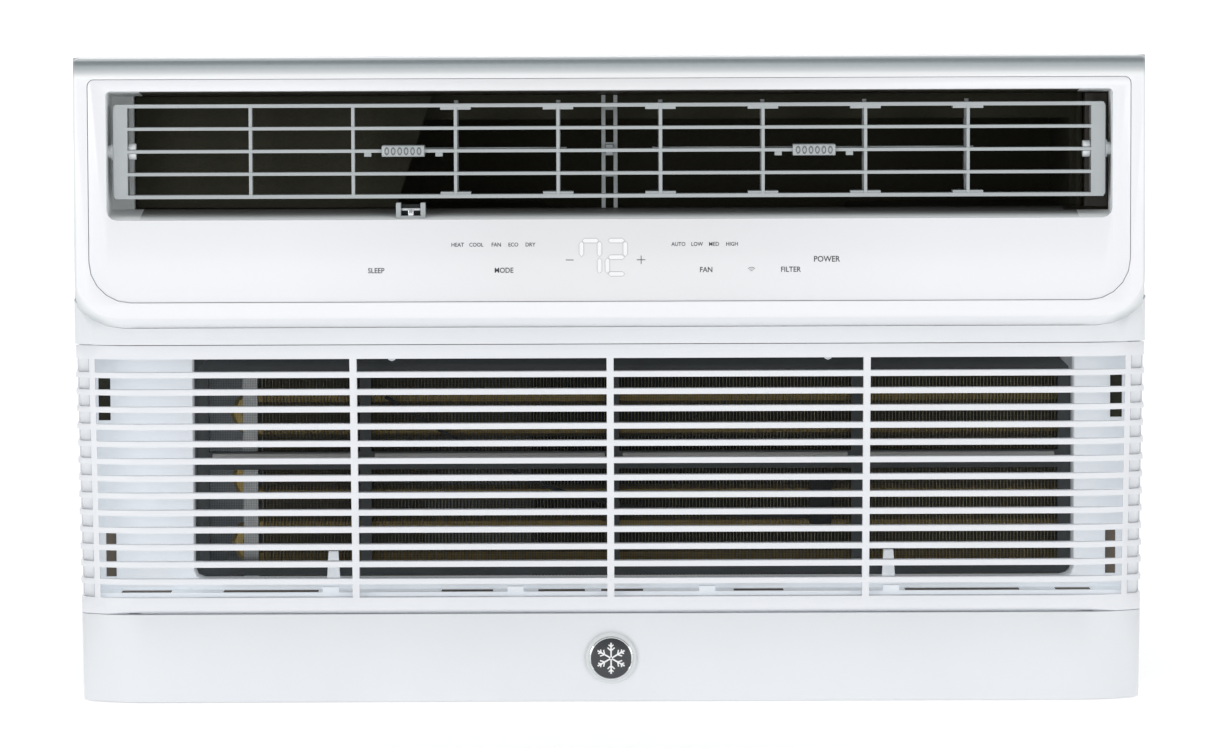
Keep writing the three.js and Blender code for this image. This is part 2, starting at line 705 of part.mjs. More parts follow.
const filterLeft = -plate.half + filter.left;
const filterRight = plate.half - filter.right;
const filterBottom = plateBottom + filter.bottom;
const filterTop = Math.min(filterBottom + filter.height, grilleTop - filter.lift - 2.8);
const filterFront = plateBack + 3.2;

// The pale plate round the filter: window with pocket walls, floor with slots, posts and tabs.
function makeInnerFrame() {
  const top = grilleTop + 0.2;
  const margin = 1.8;
  const window = rounded(filterLeft - margin, filterRight + margin, filterBottom - margin, top - 1.9,
    2, 6, 2);
  const outside = rounded(filterLeft - margin - 2, filterRight + margin + 2, filterBottom - margin - 2,
    top, 2, 7, 2);
  const holes = [-1, 1].flatMap((side) => [
    sideHole(side, 3.2, 7.5, openTop - 40, openTop - 11),
    sideHole(side, 7, 6.5, openBottom + 10, openBottom + 38),
  ]);
  const sheet = upright(rectangle(-plate.half, plate.half, plateBottom, top), plateFront, plateBack,
    [window, ...holes]);
  const pocket = upright(outside, plateFront, plateBack + 16, [window]);
  const floorTop = openBottom + 2;
  const slots = [
    [-303, -272], [-240, -181], [-105, -73], [-45, -16], [-6, 20], [76, 107], [182, 253], [275, 297],
  ].map(([left, right]) => rectangle(left, right, grilleBack + 6, plateFront - 3));
  const floorFront = swingBack + 1;
  const floorHalf = plate.half - 4;
  const floor = level(rectangle(-floorHalf, floorHalf, floorFront, plateFront + 1),
    floorTop - 2, floorTop, slots);
  const lip = box(-floorHalf, floorHalf, floorFront, floorFront + 1.5, plateBottom, floorTop);
  const clips = [-173, -58.9, 59.6, 173].map((x) =>
    box(x - 5, x + 5, floorFront, floorFront + 4, floorTop - 1, floorTop + 3.4));
  const posts = [-172.3, 172.5].map((x) => upright(
    [[x - 4.2, filterBottom - margin - 3], [x + 4.2, filterBottom - margin - 3], [x + 3, filterBottom + 15.5],
      [x - 3, filterBottom + 15.5]],
    plateFront, plateBack + 1.8));
  const tabs = [-135.2, 135].map((x) => upright(
    [[x - 2.8, top - 1], ...arc(x, openTop - 1, 2.8, 180, 360, 4), [x + 2.8, top - 1]],
    plateFront, plateBack));
  return join(sheet, pocket, floor, lip, clips, posts, tabs);
}

function sideHole(side, fromEdge, width, bottom, top) {
  const outer = side * (plate.half - fromEdge);
  const inner = side * (plate.half - fromEdge - width);
  return rectangle(Math.min(outer, inner), Math.max(outer, inner), bottom, top);
}

// The filter's dark frame, with three uprights and a cross rail.
function makeFilterFrame() {
  const outline = rounded(filterLeft, filterRight, filterBottom, filterTop, 12, 6, 3);
  const rail = filter.rail;
  const stiles = [-mullion.at + 6, 2, mullion.at - 5];
  const edges = [filterLeft + rail, ...stiles.flatMap((x) => [x - 3.5, x + 3.5]), filterRight - rail];
  const cross = (filterBottom + filterTop) / 2 + 4;
  const rows = [[filterBottom + rail, cross - 5.5], [cross + 5.5, filterTop - rail - 2]];
  const holes = [];
  for (let i = 0; i < edges.length; i += 2)
    for (const [bottom, top] of rows) holes.push(rectangle(edges[i], edges[i + 1], bottom, top));
  const frame = upright(outline, filterFront, filterFront + filter.deep, holes);
  const seat = meshBox(SEAT);
  return cut(frame, seat);
}

// The sheet of mesh lies in a pocket that opens at the back of the frame.
function meshBox(grow) {
  const front = filterFront + filter.deep - 2.4;
  const inset = 4 - grow;
  const back = filterFront + filter.deep - (grow ? -1 : SEAT);
  return box(filterLeft + inset, filterRight - inset, front - grow, back, filterBottom + inset,
    filterTop - inset);
}

// ---------------------------------------------------------------------------------------------
// The chassis
// ---------------------------------------------------------------------------------------------

function makeBasePan() {
  const half = insideHalf - 0.6;
  const front = chassisFront + 1;
  const back = machineBack - 6;
  const tray = cut(
    box(-half, half, front, back, chassis.bottom, chassis.bottom + chassis.rim),
    box(-half + SHEET, half - SHEET, front + SHEET, back - SHEET, panFloor, chassis.bottom + chassis.rim + 1),
  );
  const runners = [-half + 40, half - 80].map((x) =>
    box(x, x + 40, front + 20, back - 20, 0, chassis.bottom + 0.5));
  return join(tray, runners);
}

// A folded steel cover over the top and both sides, with a row of slots near the back.
function makeWrapper() {
  const foot = chassis.bottom + SHEET + 2;
  const outline = [
    [-chassisHalf, foot], [-insideHalf, foot], [-insideHalf, insideTop], [insideHalf, insideTop],
    [insideHalf, foot], [chassisHalf, foot], [chassisHalf, chassisTop], [-chassisHalf, chassisTop],
  ];
  const cover = upright(outline, chassisFront, machineBack - 1);
  const slots = [];
  for (const side of [-1, 1])
    for (let i = 0; i < 7; i++) {
      const y = machineBack - 70 - i * 14;
      const x = side * chassisHalf;
      slots.push(box(x - 4, x + 4, y, y + 6, chassisTop - 150, chassisTop - 40));
    }
  return cut(cover, slots);
}

function makeRearGuard() {
  const half = insideHalf - 1;
  const bottom = chassis.bottom + chassis.rim + 3;
  const top = insideTop - 1;
  const holes = [];
  const columns = 3;
  const rows = 9;
  const cellX = (2 * half - 12) / columns;
  const cellZ = (top - bottom - 12) / rows;
  for (let i = 0; i < columns; i++)
    for (let j = 0; j < rows; j++) {
      const left = -half + 6 + i * cellX + 5;
      const low = bottom + 6 + j * cellZ + 4;
      holes.push(rectangle(left, left + cellX - 10, low, low + cellZ - 8));
    }
  return upright(rectangle(-half, half, bottom, top), machineBack - 4, machineBack, holes);
}

const fanRadius = (insideTop - panFloor - fanAxis.headroom) / 2;
const fanZ = panFloor + fanAxis.slinger + fanRadius;
const wheelRadius = fanRadius - wheel.inward;
const evaporatorFront = caseBack - evaporator.behind;
const evaporatorBack = evaporatorFront + evaporator.depth;
const evaporatorLeft = -chassisHalf + evaporator.left;
const evaporatorRight = chassisHalf - evaporator.right;
const plenumBottom = outletBottom - 6;
const evaporatorTop = plenumBottom - evaporator.below;
const wheelFront = evaporatorBack + 13;
const wheelBack = wheelFront + wheel.depth;
const partitionY = wheelBack + 32;
const motorFront = partitionY + 12;
const motorBack = motorFront + motor.length;
const guardFront = machineBack - 4;
const condenserFront = guardFront - condenser.toGuard - condenser.depth;
const condenserBack = condenserFront + condenser.depth;
const condenserHalf = insideHalf - condenser.margin;
const condenserBottom = panFloor + condenser.bottom - 8;
const condenserTop = insideTop - condenser.top;
const shroudY = condenserFront - 82;

// The tube rows of a coil as [y, z], from low to high.
function coilRows(bottom, top, y, pitch) {
  const count = Math.floor((top - bottom) / pitch);
  return Array.from({ length: count }, (_, i) => [y, bottom + pitch / 2 + 4 + i * pitch]);
}

// One serpentine tube through rows of [y, z], with a half-round bend between each two.
function serpentine(rows, left, right) {
  const stations = [];
  rows.forEach(([y, z], i) => {
    const forward = i % 2 === 0;
    const start = forward ? left : right;
    const end = forward ? right : left;
    stations.push([start, y, z], [end, y, z]);
    if (i === rows.length - 1) return;
    const [nextY, nextZ] = rows[i + 1];
    const reach = Math.hypot(nextY - y, nextZ - z) / 2;
    for (const part of [45, 90, 135]) {
      const a = THREE.MathUtils.degToRad(part);
      const share = (1 - Math.cos(a)) / 2;
      stations.push([
        end + (forward ? 1 : -1) * reach * Math.sin(a),
        y + (nextY - y) * share,
        z + (nextZ - z) * share,
      ]);
    }
  });
  return tube(stations, coil.tube, coil.sides);
}

const evaporatorRows = coilRows(evaporator.bottom, evaporatorTop, evaporatorFront + 14, coil.pitch);
const condenserRows = coilRows(condenserBottom, condenserTop, condenserFront + 20, coil.widePitch);
const finGap = 3;

function makeFinBlock(rows, left, right, front, back, bottom, top) {
  const holes = rows.map(([y, z]) => circle(y, z, coil.hole, coil.sides));
  return along([[front, bottom], [back, bottom], [back, top], [front, top]], left, right, holes);
}

// A flanged steel plate at one end of a coil; side is 1 where it closes the right end.
function makeEndPlate(rows, x, side, front, back, bottom, top, flange) {
  const holes = rows.map(([y, z]) => circle(y, z, coil.hole, coil.sides));
  const web = along([[front, bottom], [back, bottom], [back, top], [front, top]],
    Math.min(x, x + side * SHEET), Math.max(x, x + side * SHEET), holes);
  const edge = x + side * flange;
  const lip = box(Math.min(x, edge), Math.max(x, edge), front - SHEET, front + 0.01, bottom, top);
  return join(web, lip);
}

function makeScroll() {
  const left = fanAxis.x - wheelRadius - scroll.clear - scroll.wall;
  const right = fanAxis.x + wheelRadius + scroll.clear + scroll.wall;
  const front = wheelFront - 4 - scroll.wall;
  const back = wheelBack + 4 + scroll.wall;
  const bottom = fanZ - wheelRadius - scroll.clear - scroll.wall;
  const plenumTop = chassisTop - chassis.lap - 1;
  const collarTop = outletTop - duct.drop;
  const collarBottom = outletBottom + duct.rise;
  const collarBack = caseBack - WALL - 1;
  const plenumFront = fasciaBack + 0.4 + duct.depth + SEAT;
  const half = outletHalf - duct.stepIn;
  const tower = box(left, right, front, back, bottom, plenumTop);
  const plenum = box(-half, half, plenumFront, back, plenumBottom, plenumTop);
  const collar = box(-half, half, plenumFront, collarBack, plenumBottom, collarTop + 4);
  const collarMouth = box(-half + 4, half - 4, plenumFront - 1, collarBack - 4, collarBottom, collarTop);
  const cavity = rodY(fanAxis.x, fanZ, wheelRadius + scroll.clear, wheelFront - 4, wheelBack + 4, 20);
  const riser = box(left + scroll.wall, right - scroll.wall, wheelFront - 4, wheelBack + 4,
    fanZ, plenumTop - scroll.wall);
  const mouth = box(-half + scroll.wall, half - scroll.wall, plenumFront - 1, wheelBack + 4,
    plenumBottom + scroll.wall, plenumTop - scroll.wall);
  const inlet = rodY(fanAxis.x, fanZ, wheelRadius - 22, front - 1, wheelFront, 20);
  const shaftHole = rodY(fanAxis.x, fanZ, motor.shaft + 3, wheelBack, back + 1, 10);
  return cut(join(tower, plenum, collar), cavity, riser, mouth, collarMouth, inlet, shaftHole);
}

function makePartition() {
  const top = plenumBottom - 4;
  const outline = rectangle(-insideHalf + 4, insideHalf - 4, panFloor + SEAT, top);
  return upright(outline, partitionY, partitionY + SHEET,
    [circle(fanAxis.x, fanZ, motor.shaft + 4, 12), circle(suction.x, suction.z, 9, 10)]);
}

function makeBlowerWheel() {
  const ringOut = wheelRadius;
  const ringIn = wheelRadius - 16;
  const tyre = (front, back) => cut(
    rodY(fanAxis.x, fanZ, ringOut, front, back, 24),
    rodY(fanAxis.x, fanZ, ringIn, front - 1, back + 1, 24));
  const backPlate = rodY(fanAxis.x, fanZ, ringOut, wheelBack - 2, wheelBack, 24);
  const hub = rodY(fanAxis.x, fanZ, 14, wheelBack - 30, wheelBack, 12);
  const blades = [];
  for (let i = 0; i < wheel.blades; i++) {
    const blade = new THREE.BoxGeometry(15, wheel.depth - 1, 1.6).rotateY(0.5);
    blade.translate(wheelRadius - 8, 0, 0).rotateY((i * 2 * Math.PI) / wheel.blades);
    blades.push(blade.translate(fanAxis.x, (wheelFront + wheelBack) / 2, fanZ));
  }
  const bore = rodY(fanAxis.x, fanZ, motor.shaft + SEAT, wheelFront, wheelBack + 1, 12);
  return cut(join(tyre(wheelFront, wheelFront + 3), backPlate, hub, blades), bore);
}

function makeCondenserFan() {
  const front = shroudY + 18;
  const back = front + 32;
  const middle = (front + back) / 2;
  const ring = cut(
    rodY(fanAxis.x, fanZ, fanRadius, back - 8, back, 28),
    rodY(fanAxis.x, fanZ, fanRadius - 4, back - 9, back + 1, 28));
  const hub = rodY(fanAxis.x, fanZ, 28, front, back, 16);
  const blades = [];
  for (let i = 0; i < 5; i++) {
    const blade = new THREE.BoxGeometry(fanRadius - 24, 2.4, fanRadius * 0.52).rotateX(0.42);
    blade.translate((fanRadius + 22) / 2, 0, 0).rotateY((i * 2 * Math.PI) / 5);
    blades.push(blade.translate(fanAxis.x, middle, fanZ));
  }
  const trimmed = common(join(blades), rodY(fanAxis.x, fanZ, fanRadius - 1, front, back, 28));
  const bore = rodY(fanAxis.x, fanZ, motor.shaft + SEAT, front - 1, back + 1, 12);
  return cut(join(ring, hub, trimmed), bore);
}

function makeShroud() {
  const half = insideHalf - 5;
  const outline = rectangle(-half, half, panFloor + 4, condenserTop);
  const sheet = upright(outline, shroudY, shroudY + SHEET + 0.8,
    [circle(fanAxis.x, fanZ, fanRadius + 5, 28), circle(discharge.x, discharge.z, 6, 8)]);
  const rim = cut(
    rodY(fanAxis.x, fanZ, fanRadius + 7.5, shroudY, shroudY + 46, 28),
    rodY(fanAxis.x, fanZ, fanRadius + 5, shroudY - 1, shroudY + 47, 28));
  const frame = cut(
    upright(rectangle(-half, half, panFloor + 4, condenserTop), shroudY, condenserFront - SHEET - SEAT),
    upright(rectangle(-half + 2, half - 2, panFloor + 2, condenserTop - 2), shroudY - 1, condenserFront));
  return join(sheet, rim, frame);
}

function makeMotor() {
  const can = turnedY(
    [[0, motorFront], [22, motorFront], [24, motorFront + 8], [motor.radius - 8, motorFront + 12],
      [motor.radius, motorFront + 20], [motor.radius, motorBack - 20], [motor.radius - 8, motorBack - 12],
      [24, motorBack - 8], [22, motorBack], [0, motorBack]], fanAxis.x, fanZ, 20);
  return cut(can, rodY(fanAxis.x, fanZ, motor.shaft + RUN, motorFront - 1, motorBack + 1, 12));
}

// A steel cradle from the pan up round the motor.
function makeMotorBracket() {
  const front = motorFront + 26;
  const back = front + 36;
  const ring = cut(
    rodY(fanAxis.x, fanZ, motor.radius + 3.5, front, back, 20),
    rodY(fanAxis.x, fanZ, motor.radius + 1, front - 1, back + 1, 20));
  const legs = [-1, 1].map((side) => {
    const x = fanAxis.x + side * (motor.radius + 2);
    return box(x - 1.5, x + 1.5, front, back, panFloor + SEAT, fanZ);
  });
  const foot = box(fanAxis.x - motor.radius - 20, fanAxis.x + motor.radius + 20, front, back,
    panFloor + SEAT, panFloor + SEAT + 2);
  return join(ring, legs, foot);
}

const compressorX = -chassisHalf + compressor.sideRoom + compressor.radius;
const compressorY = (partitionY + SHEET + shroudY) / 2;
const feetZ = panFloor + 16;

function makeCompressor() {
  const { radius, height } = compressor;
  const y = compressorY;
  const bottom = feetZ + 3;
  const top = feetZ + height;
  const can = turned(
    [[0, bottom], [radius - 12, bottom], [radius, bottom + 12], [radius, top - 34], [radius - 10, top - 14],
      [radius - 34, top], [0, top]], compressorX, y, 20);
  const feet = [];
  for (let i = 0; i < 3; i++) {
    const foot = box(0, radius + compressor.foot, -10, 10, feetZ, feetZ + 3).rotateZ(footAngle(i));
    feet.push(foot.translate(compressorX, y, 0));
  }
  const base = rodZ(compressorX, y, radius - 14, feetZ, bottom + 1, 16);
  const outlets = [rodZ(compressorX + 18, y, 6, top - 6, top + 8, 8)];
  return join(can, feet, base, outlets);
}

const footAngle = (i) => Math.PI + (i * 2 * Math.PI) / 3;

function makeGrommet(i) {
  const reach = compressor.radius + compressor.grommetOut;
  const x = compressorX + reach * Math.cos(footAngle(i));
  const y = compressorY + reach * Math.sin(footAngle(i));
  const bottom = panFloor + SEAT;
  const top = feetZ - SEAT;
  return turned([[0, bottom], [9, bottom], [9, bottom + 4], [7, bottom + 6], [7, top - 4], [9, top - 2],
    [9, top], [0, top]], x, y, 12);
}

const accumulatorX = compressorX + compressor.radius + 36;
const suction = { x: accumulatorX, y: evaporatorBack + 26, z: plenumBottom - 60 };
const discharge = { x: compressorX + 18, z: feetZ + compressor.height + 34 };
const accumulatorTop = panFloor + 190;

function makeAccumulator() {
  const bottom = panFloor + 60;
  const top = accumulatorTop;
  return turned([[0, bottom], [14, bottom], [24, bottom + 8], [24, top - 8], [10, top], [0, top]],
    accumulatorX, compressorY, 14);
}

function makeSuctionPipe() {
  const start = evaporatorLeft - coil.stub - SEAT;
  const [rowY, rowZ] = evaporatorRows[0];
  return pipe([
    [start, rowY, rowZ],
    [start - 16, rowY, rowZ],
    [start - 16, suction.y, rowZ],
    [suction.x, suction.y, rowZ],
    [suction.x, suction.y, suction.z],
    [suction.x, compressorY, suction.z],
    [suction.x, compressorY, accumulatorTop + SEAT],
  ], 7, 4.2);
}

function makeDischargePipe() {
  const start = -condenserHalf + 14 - coil.stub - SEAT;
  const [rowY, rowZ] = condenserRows[0];
  const side = start - 9;
  const behind = shroudY + 61;
  return pipe([
    [discharge.x, compressorY, feetZ + compressor.height + 8 + SEAT],
    [discharge.x, compressorY, discharge.z],
    [discharge.x, behind, discharge.z],
    [side, behind, discharge.z],
    [side, behind, rowZ],
    [side, rowY, rowZ],
    [start, rowY, rowZ],
  ], 4, 3.6);
}

const boxRight = insideHalf - 8;
const controlBox = { width: 130, depth: 100, height: 96 };
const boxFront = motorFront - 6;
const boxBottom = insideTop - 8 - controlBox.height;

function makeControlBox() {
  const left = boxRight - controlBox.width;
  const back = boxFront + controlBox.depth;
  const top = insideTop - 8;
  return cut(
    box(left, boxRight, boxFront, back, boxBottom, top),
    box(left + SHEET, boxRight - SHEET, boxFront + SHEET, back - SHEET, boxBottom + SHEET, top + 1));
}

function makeControlBoard() {
  const left = boxRight - controlBox.width + 8;
  const z = boxBottom + SHEET + SEAT;
  const board = box(left, boxRight - 8, boxFront + 8, boxFront + 60, z + 6, z + 7.6);
  const standoffs = [left + 6, boxRight - 14].flatMap((x) => [boxFront + 14, boxFront + 54].map((y) =>
    rodZ(x, y, 3, z, z + 6.5, 6)));
  const relay = box(left + 14, left + 34, boxFront + 16, boxFront + 32, z + 7, z + 24);
  const choke = box(left + 60, left + 84, boxFront + 20, boxFront + 46, z + 7, z + 30);
  return join(board, standoffs, relay, choke);
}

function makeCapacitor() {
  const z = boxBottom + SHEET + SEAT;
  return rodZ(boxRight - 40, boxFront + 80, 14, z, z + 64, 14);
}

function makeDrainPan() {
  const left = evaporatorLeft - 8;
  const right = evaporatorRight + 8;
  const front = evaporatorFront - 1;
  const back = evaporatorBack + 3;
  const bottom = evaporator.bottom - 16;
  return cut(
    box(left, right, front, back, bottom, evaporator.bottom - 2),
    box(left + 2, right - 2, front + 2, back - 2, bottom + 2, evaporator.bottom),
    rodZ(right - 30, (front + back) / 2, 5, bottom - 1, bottom + 3, 8));
}

// The sensor clipped on the coil's face, and its lead along the face.
const sensor = { x: 131, up: 70, width: 14, height: 29, thick: 8 };

function makeThermistor() {
  const { x, width, height } = sensor;
  const z = evaporator.bottom + sensor.up;
  return box(x - width / 2, x + width / 2, evaporatorFront - sensor.thick, evaporatorFront - SHEET - 0.4,
    z - height / 2, z + height / 2);
}

function makeThermistorLead() {
  const z = evaporator.bottom + sensor.up;
  const y = evaporatorFront - 4.5;
  const start = sensor.x - sensor.width / 2 - SEAT;
  const run = [[0, -10], [60, -8], [120, -2], [170, 12], [232, 46], [264, 66]];
  const curve = new THREE.CatmullRomCurve3(run.map(([x, up]) => new THREE.Vector3(start - x, y, z + up)));
  return tube(curve.getPoints(18).map((p) => p.toArray()), 1.3, 6);
}

// ---------------------------------------------------------------------------------------------
// Assembly
// ---------------------------------------------------------------------------------------------

function coilPieces(prefix, rows, left, right, front, back, bottom, top, flange) {
  return [
    piece(prefix + "_fins", makeFinBlock(rows, left, right, front, back, bottom, top), "fins"),
    piece(prefix + "_tube", serpentine(rows, left - coil.stub, right + coil.stub), "copper"),
    piece(prefix + "_end_plate_left",
      makeEndPlate(rows, left - finGap, -1, front, back, bottom, top, flange), "steel"),
    piece(prefix + "_end_plate_right",
      makeEndPlate(rows, right + finGap, 1, front, back, bottom, top, flange), "steel"),
  ];
}

const frontCase = new THREE.Group();
frontCase.add(
  piece("front_housing", makeFrontCase(), "shell"),
  piece("bezel", makeBezel(), "gloss"),
  piece("control_fascia", makeFascia(), "gloss"),
  piece("badge", makeBadge(), "black"),
  piece("display_board", makeDisplayBoard(), "board"),
  piece("outlet_duct", makeDuct(), "white"),
  piece("outlet_baffle", makeBaffle(), "foam"),
  piece("louver_bracket", makeBracket(), "silver"),
  piece("inner_frame", makeInnerFrame(), "white"),
  piece("cord_gland", makeGland(), "black"),
);

const intake = new THREE.Group();
intake.add(piece("intake_grille", makeGrille(), "shell"));

const filterGroup = new THREE.Group();
filterGroup.add(
  piece("filter_frame", makeFilterFrame(), "dark"),
  piece("filter_mesh", meshBox(0), "black"),
);

const louverGroup = new THREE.Group();
louverGroup.position.set(0, louverY, louverZ);
louverGroup.add(
  piece("louver_frame", makeLouverFrame(), "silver"),
  piece("pivot_pin_left", makePivotPin(-1), "white"),
  piece("pivot_pin_right", makePivotPin(1), "white"),
);
for (const [side, indexes, tabX] of [["left", leftVanes, leftTabX], ["right", rightVanes, rightTabX]]) {
  indexes.forEach((index, i) => {
    const mesh = piece(side + "_vane_" + (i + 1), makeVane(), "silver");
    mesh.position.set(ribX(index), vane.behind, 0);
    louverGroup.add(mesh);
  });
  louverGroup.add(
    piece(side + "_tie_bar", makeTieBar(tabX, indexes), "silver"),
    piece(side + "_thumb_tab", makeThumbTab(tabX), "silver"),
  );
}

const chassisGroup = new THREE.Group();
chassisGroup.add(
  piece("base_pan", makeBasePan(), "steel"),
  piece("cabinet_wrapper", makeWrapper(), "steel"),
  piece("rear_guard", makeRearGuard(), "steel"),
  piece("partition", makePartition(), "steel"),
  ...coilPieces("evaporator", evaporatorRows, evaporatorLeft, evaporatorRight, evaporatorFront,
    evaporatorBack, evaporator.bottom, evaporatorTop, 9),
  ...coilPieces("condenser", condenserRows, -condenserHalf + 14, condenserHalf - 14, condenserFront,
    condenserBack, condenserBottom, condenserTop, 6),
  piece("condenser_shroud", makeShroud(), "white"),
  piece("drain_pan", makeDrainPan(), "white"),
  piece("blower_scroll", makeScroll(), "foam"),
  piece("thermistor", makeThermistor(), "black"),
  piece("thermistor_lead", makeThermistorLead(), "black"),
  piece("fan_motor", makeMotor(), "black"),
  piece("motor_bracket", makeMotorBracket(), "steel"),
  piece("compressor", makeCompressor(), "black"),
  ...[0, 1, 2].map((i) => piece("compressor_grommet_" + (i + 1), makeGrommet(i), "black")),
  piece("accumulator", makeAccumulator(), "copper"),
  piece("suction_pipe", makeSuctionPipe(), "copper"),
  piece("discharge_pipe", makeDischargePipe(), "copper"),
  piece("control_box", makeControlBox(), "steel"),
  piece("control_board", makeControlBoard(), "board"),
  piece("capacitor", makeCapacitor(), "steel"),
);

const rotor = new THREE.Group();
rotor.add(
  piece("motor_shaft", rodY(fanAxis.x, fanZ, motor.shaft, wheelBack - 60, shroudY + 56, 10), "steel"),
  piece("blower_wheel", makeBlowerWheel(), "black"),
  piece("condenser_fan", makeCondenserFan(), "black"),
);

const group = new THREE.Group();
group.add(frontCase, intake, filterGroup, louverGroup, chassisGroup, rotor);

export default group;
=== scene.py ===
# %% [markdown]
# # A room air conditioner of the slide-in kind
# The machine comes from CAD as named solids in one fixed frame, so nothing has to be placed by eye.
# This lesson gives those solids moulded edges, real finishes and the fine pieces that repeat: fins,
# netting, screws, print. It loads the frame first and remembers its box, which the looks must keep.

# %% Load the frame
import json
import math

import bmesh
import bpy
from mathutils import Matrix, Vector


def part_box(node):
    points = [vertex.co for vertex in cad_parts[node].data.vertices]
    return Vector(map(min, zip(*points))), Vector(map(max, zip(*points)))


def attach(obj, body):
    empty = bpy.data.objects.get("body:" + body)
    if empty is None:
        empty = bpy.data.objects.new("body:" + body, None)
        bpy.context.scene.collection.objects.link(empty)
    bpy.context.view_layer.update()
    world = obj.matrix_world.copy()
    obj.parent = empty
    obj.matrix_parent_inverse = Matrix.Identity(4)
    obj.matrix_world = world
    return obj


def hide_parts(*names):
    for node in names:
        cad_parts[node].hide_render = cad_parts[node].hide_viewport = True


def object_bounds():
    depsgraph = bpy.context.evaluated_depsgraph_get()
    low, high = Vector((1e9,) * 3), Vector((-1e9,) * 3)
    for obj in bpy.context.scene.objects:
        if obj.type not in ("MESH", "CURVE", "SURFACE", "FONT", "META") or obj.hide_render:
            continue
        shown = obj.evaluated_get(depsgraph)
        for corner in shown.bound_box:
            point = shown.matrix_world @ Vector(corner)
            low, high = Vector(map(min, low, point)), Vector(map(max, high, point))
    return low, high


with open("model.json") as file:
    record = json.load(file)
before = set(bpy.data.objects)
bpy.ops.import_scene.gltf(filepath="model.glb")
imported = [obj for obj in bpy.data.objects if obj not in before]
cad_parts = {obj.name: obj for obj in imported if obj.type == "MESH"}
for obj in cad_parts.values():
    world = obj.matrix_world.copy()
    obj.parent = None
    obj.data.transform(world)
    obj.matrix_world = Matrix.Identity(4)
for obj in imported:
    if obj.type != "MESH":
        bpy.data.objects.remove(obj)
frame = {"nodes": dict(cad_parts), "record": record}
cad_box = [list(corner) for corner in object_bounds()]
nodes = frame["nodes"]
body_of = {n: body for body, members in frame["record"]["behaviour"]["bodies"].items() for n in members}
slot_of = {row["node"]: row["material_slot"] for row in frame["record"]["subparts"]}
MM = 0.001

# %% [markdown]
# ## The room
# The machine was made to be seen against white, so the room is a pale floor, a white sky and three
# wide soft lamps. Two of them stand low on either side of the camera, so their light goes in between
# the bars. The camera stands a little above the machine's top edge and looks slightly down with a
# long lens, which keeps the bars almost straight. Its aim follows the front of the CAD box.


# %% Camera, floor and lights
def look_at(thing, target):
    direction = Vector(target) - thing.location
    thing.rotation_euler = direction.to_track_quat("-Z", "Y").to_euler()


def make_camera(distance, height, aim, lens, roll):
    data = bpy.data.cameras.new("camera")
    data.lens = lens
    data.sensor_width = 36
    data.clip_end = 50
    camera = bpy.data.objects.new("camera", data)
    bpy.context.scene.collection.objects.link(camera)
    camera.location = (aim[0], cad_box[0][1] - distance, height)
    look_at(camera, aim)
    turn = Matrix.Rotation(math.radians(roll), 3, "Z")
    camera.rotation_euler = (camera.rotation_euler.to_matrix() @ turn).to_euler()
    bpy.context.scene.camera = camera
    return camera


def make_lamp(name, location, target, size, power):
    data = bpy.data.lights.new(name, "AREA")
    data.shape = "RECTANGLE"
    data.size, data.size_y = size
    data.energy = power
    lamp = bpy.data.objects.new(name, data)
    bpy.context.scene.collection.objects.link(lamp)
    lamp.location = location
    look_at(lamp, target)
    return lamp


camera = make_camera(3.3, 0.45, (0.0027, cad_box[0][1], 0.2034), 158.6, -0.2)
middle = (0, -0.2, 0.2)
make_lamp("overhead_softbox", (0.0, -1.3, 2.3), middle, (3.2, 1.6), 15)
make_lamp("left_softbox", (-1.9, -2.9, 0.55), middle, (1.4, 0.9), 15)
make_lamp("right_softbox", (1.9, -2.9, 0.55), middle, (1.4, 0.9), 10)
world = bpy.data.worlds.new("white_room")
world.use_nodes = True
world.node_tree.nodes["Background"].inputs["Color"].default_value = (1, 1, 1, 1)
world.node_tree.nodes["Background"].inputs["Strength"].default_value = 0.42
bpy.context.scene.world = world
bpy.context.scene.view_settings.view_transform = "Standard"
print("camera", tuple(round(v, 3) for v in camera.location))

# %% [markdown]
# ## Shader sums
# A finish is easier to read as a sum than as a drawing of nodes. `Term` wraps one socket and turns
# +, -, * and comparisons into Math nodes. `Paint` is one material, and its `node` method makes any
# other node from its type, its settings and what its sockets hold.


# %% Term and Paint
class Term:
    def __init__(self, paint, socket):
        self.paint = paint
        self.socket = socket

    def math(self, operation, other=None, flip=False):
        values = [self] if other is None else [other, self] if flip else [self, other]
        made = self.paint.node("ShaderNodeMath", {"operation": operation}, dict(enumerate(values)))
        return Term(self.paint, made.outputs[0])

    def __add__(self, other):
        return self.math("ADD", other)

    def __sub__(self, other):
        return self.math("SUBTRACT", other)

    def __rsub__(self, other):
        return self.math("SUBTRACT", other, flip=True)

    def __mul__(self, other):
        return self.math("MULTIPLY", other)

    def __gt__(self, other):
        return self.math("GREATER_THAN", other)

    def __lt__(self, other):
        return self.math("LESS_THAN", other)

    __radd__ = __add__
    __rmul__ = __mul__


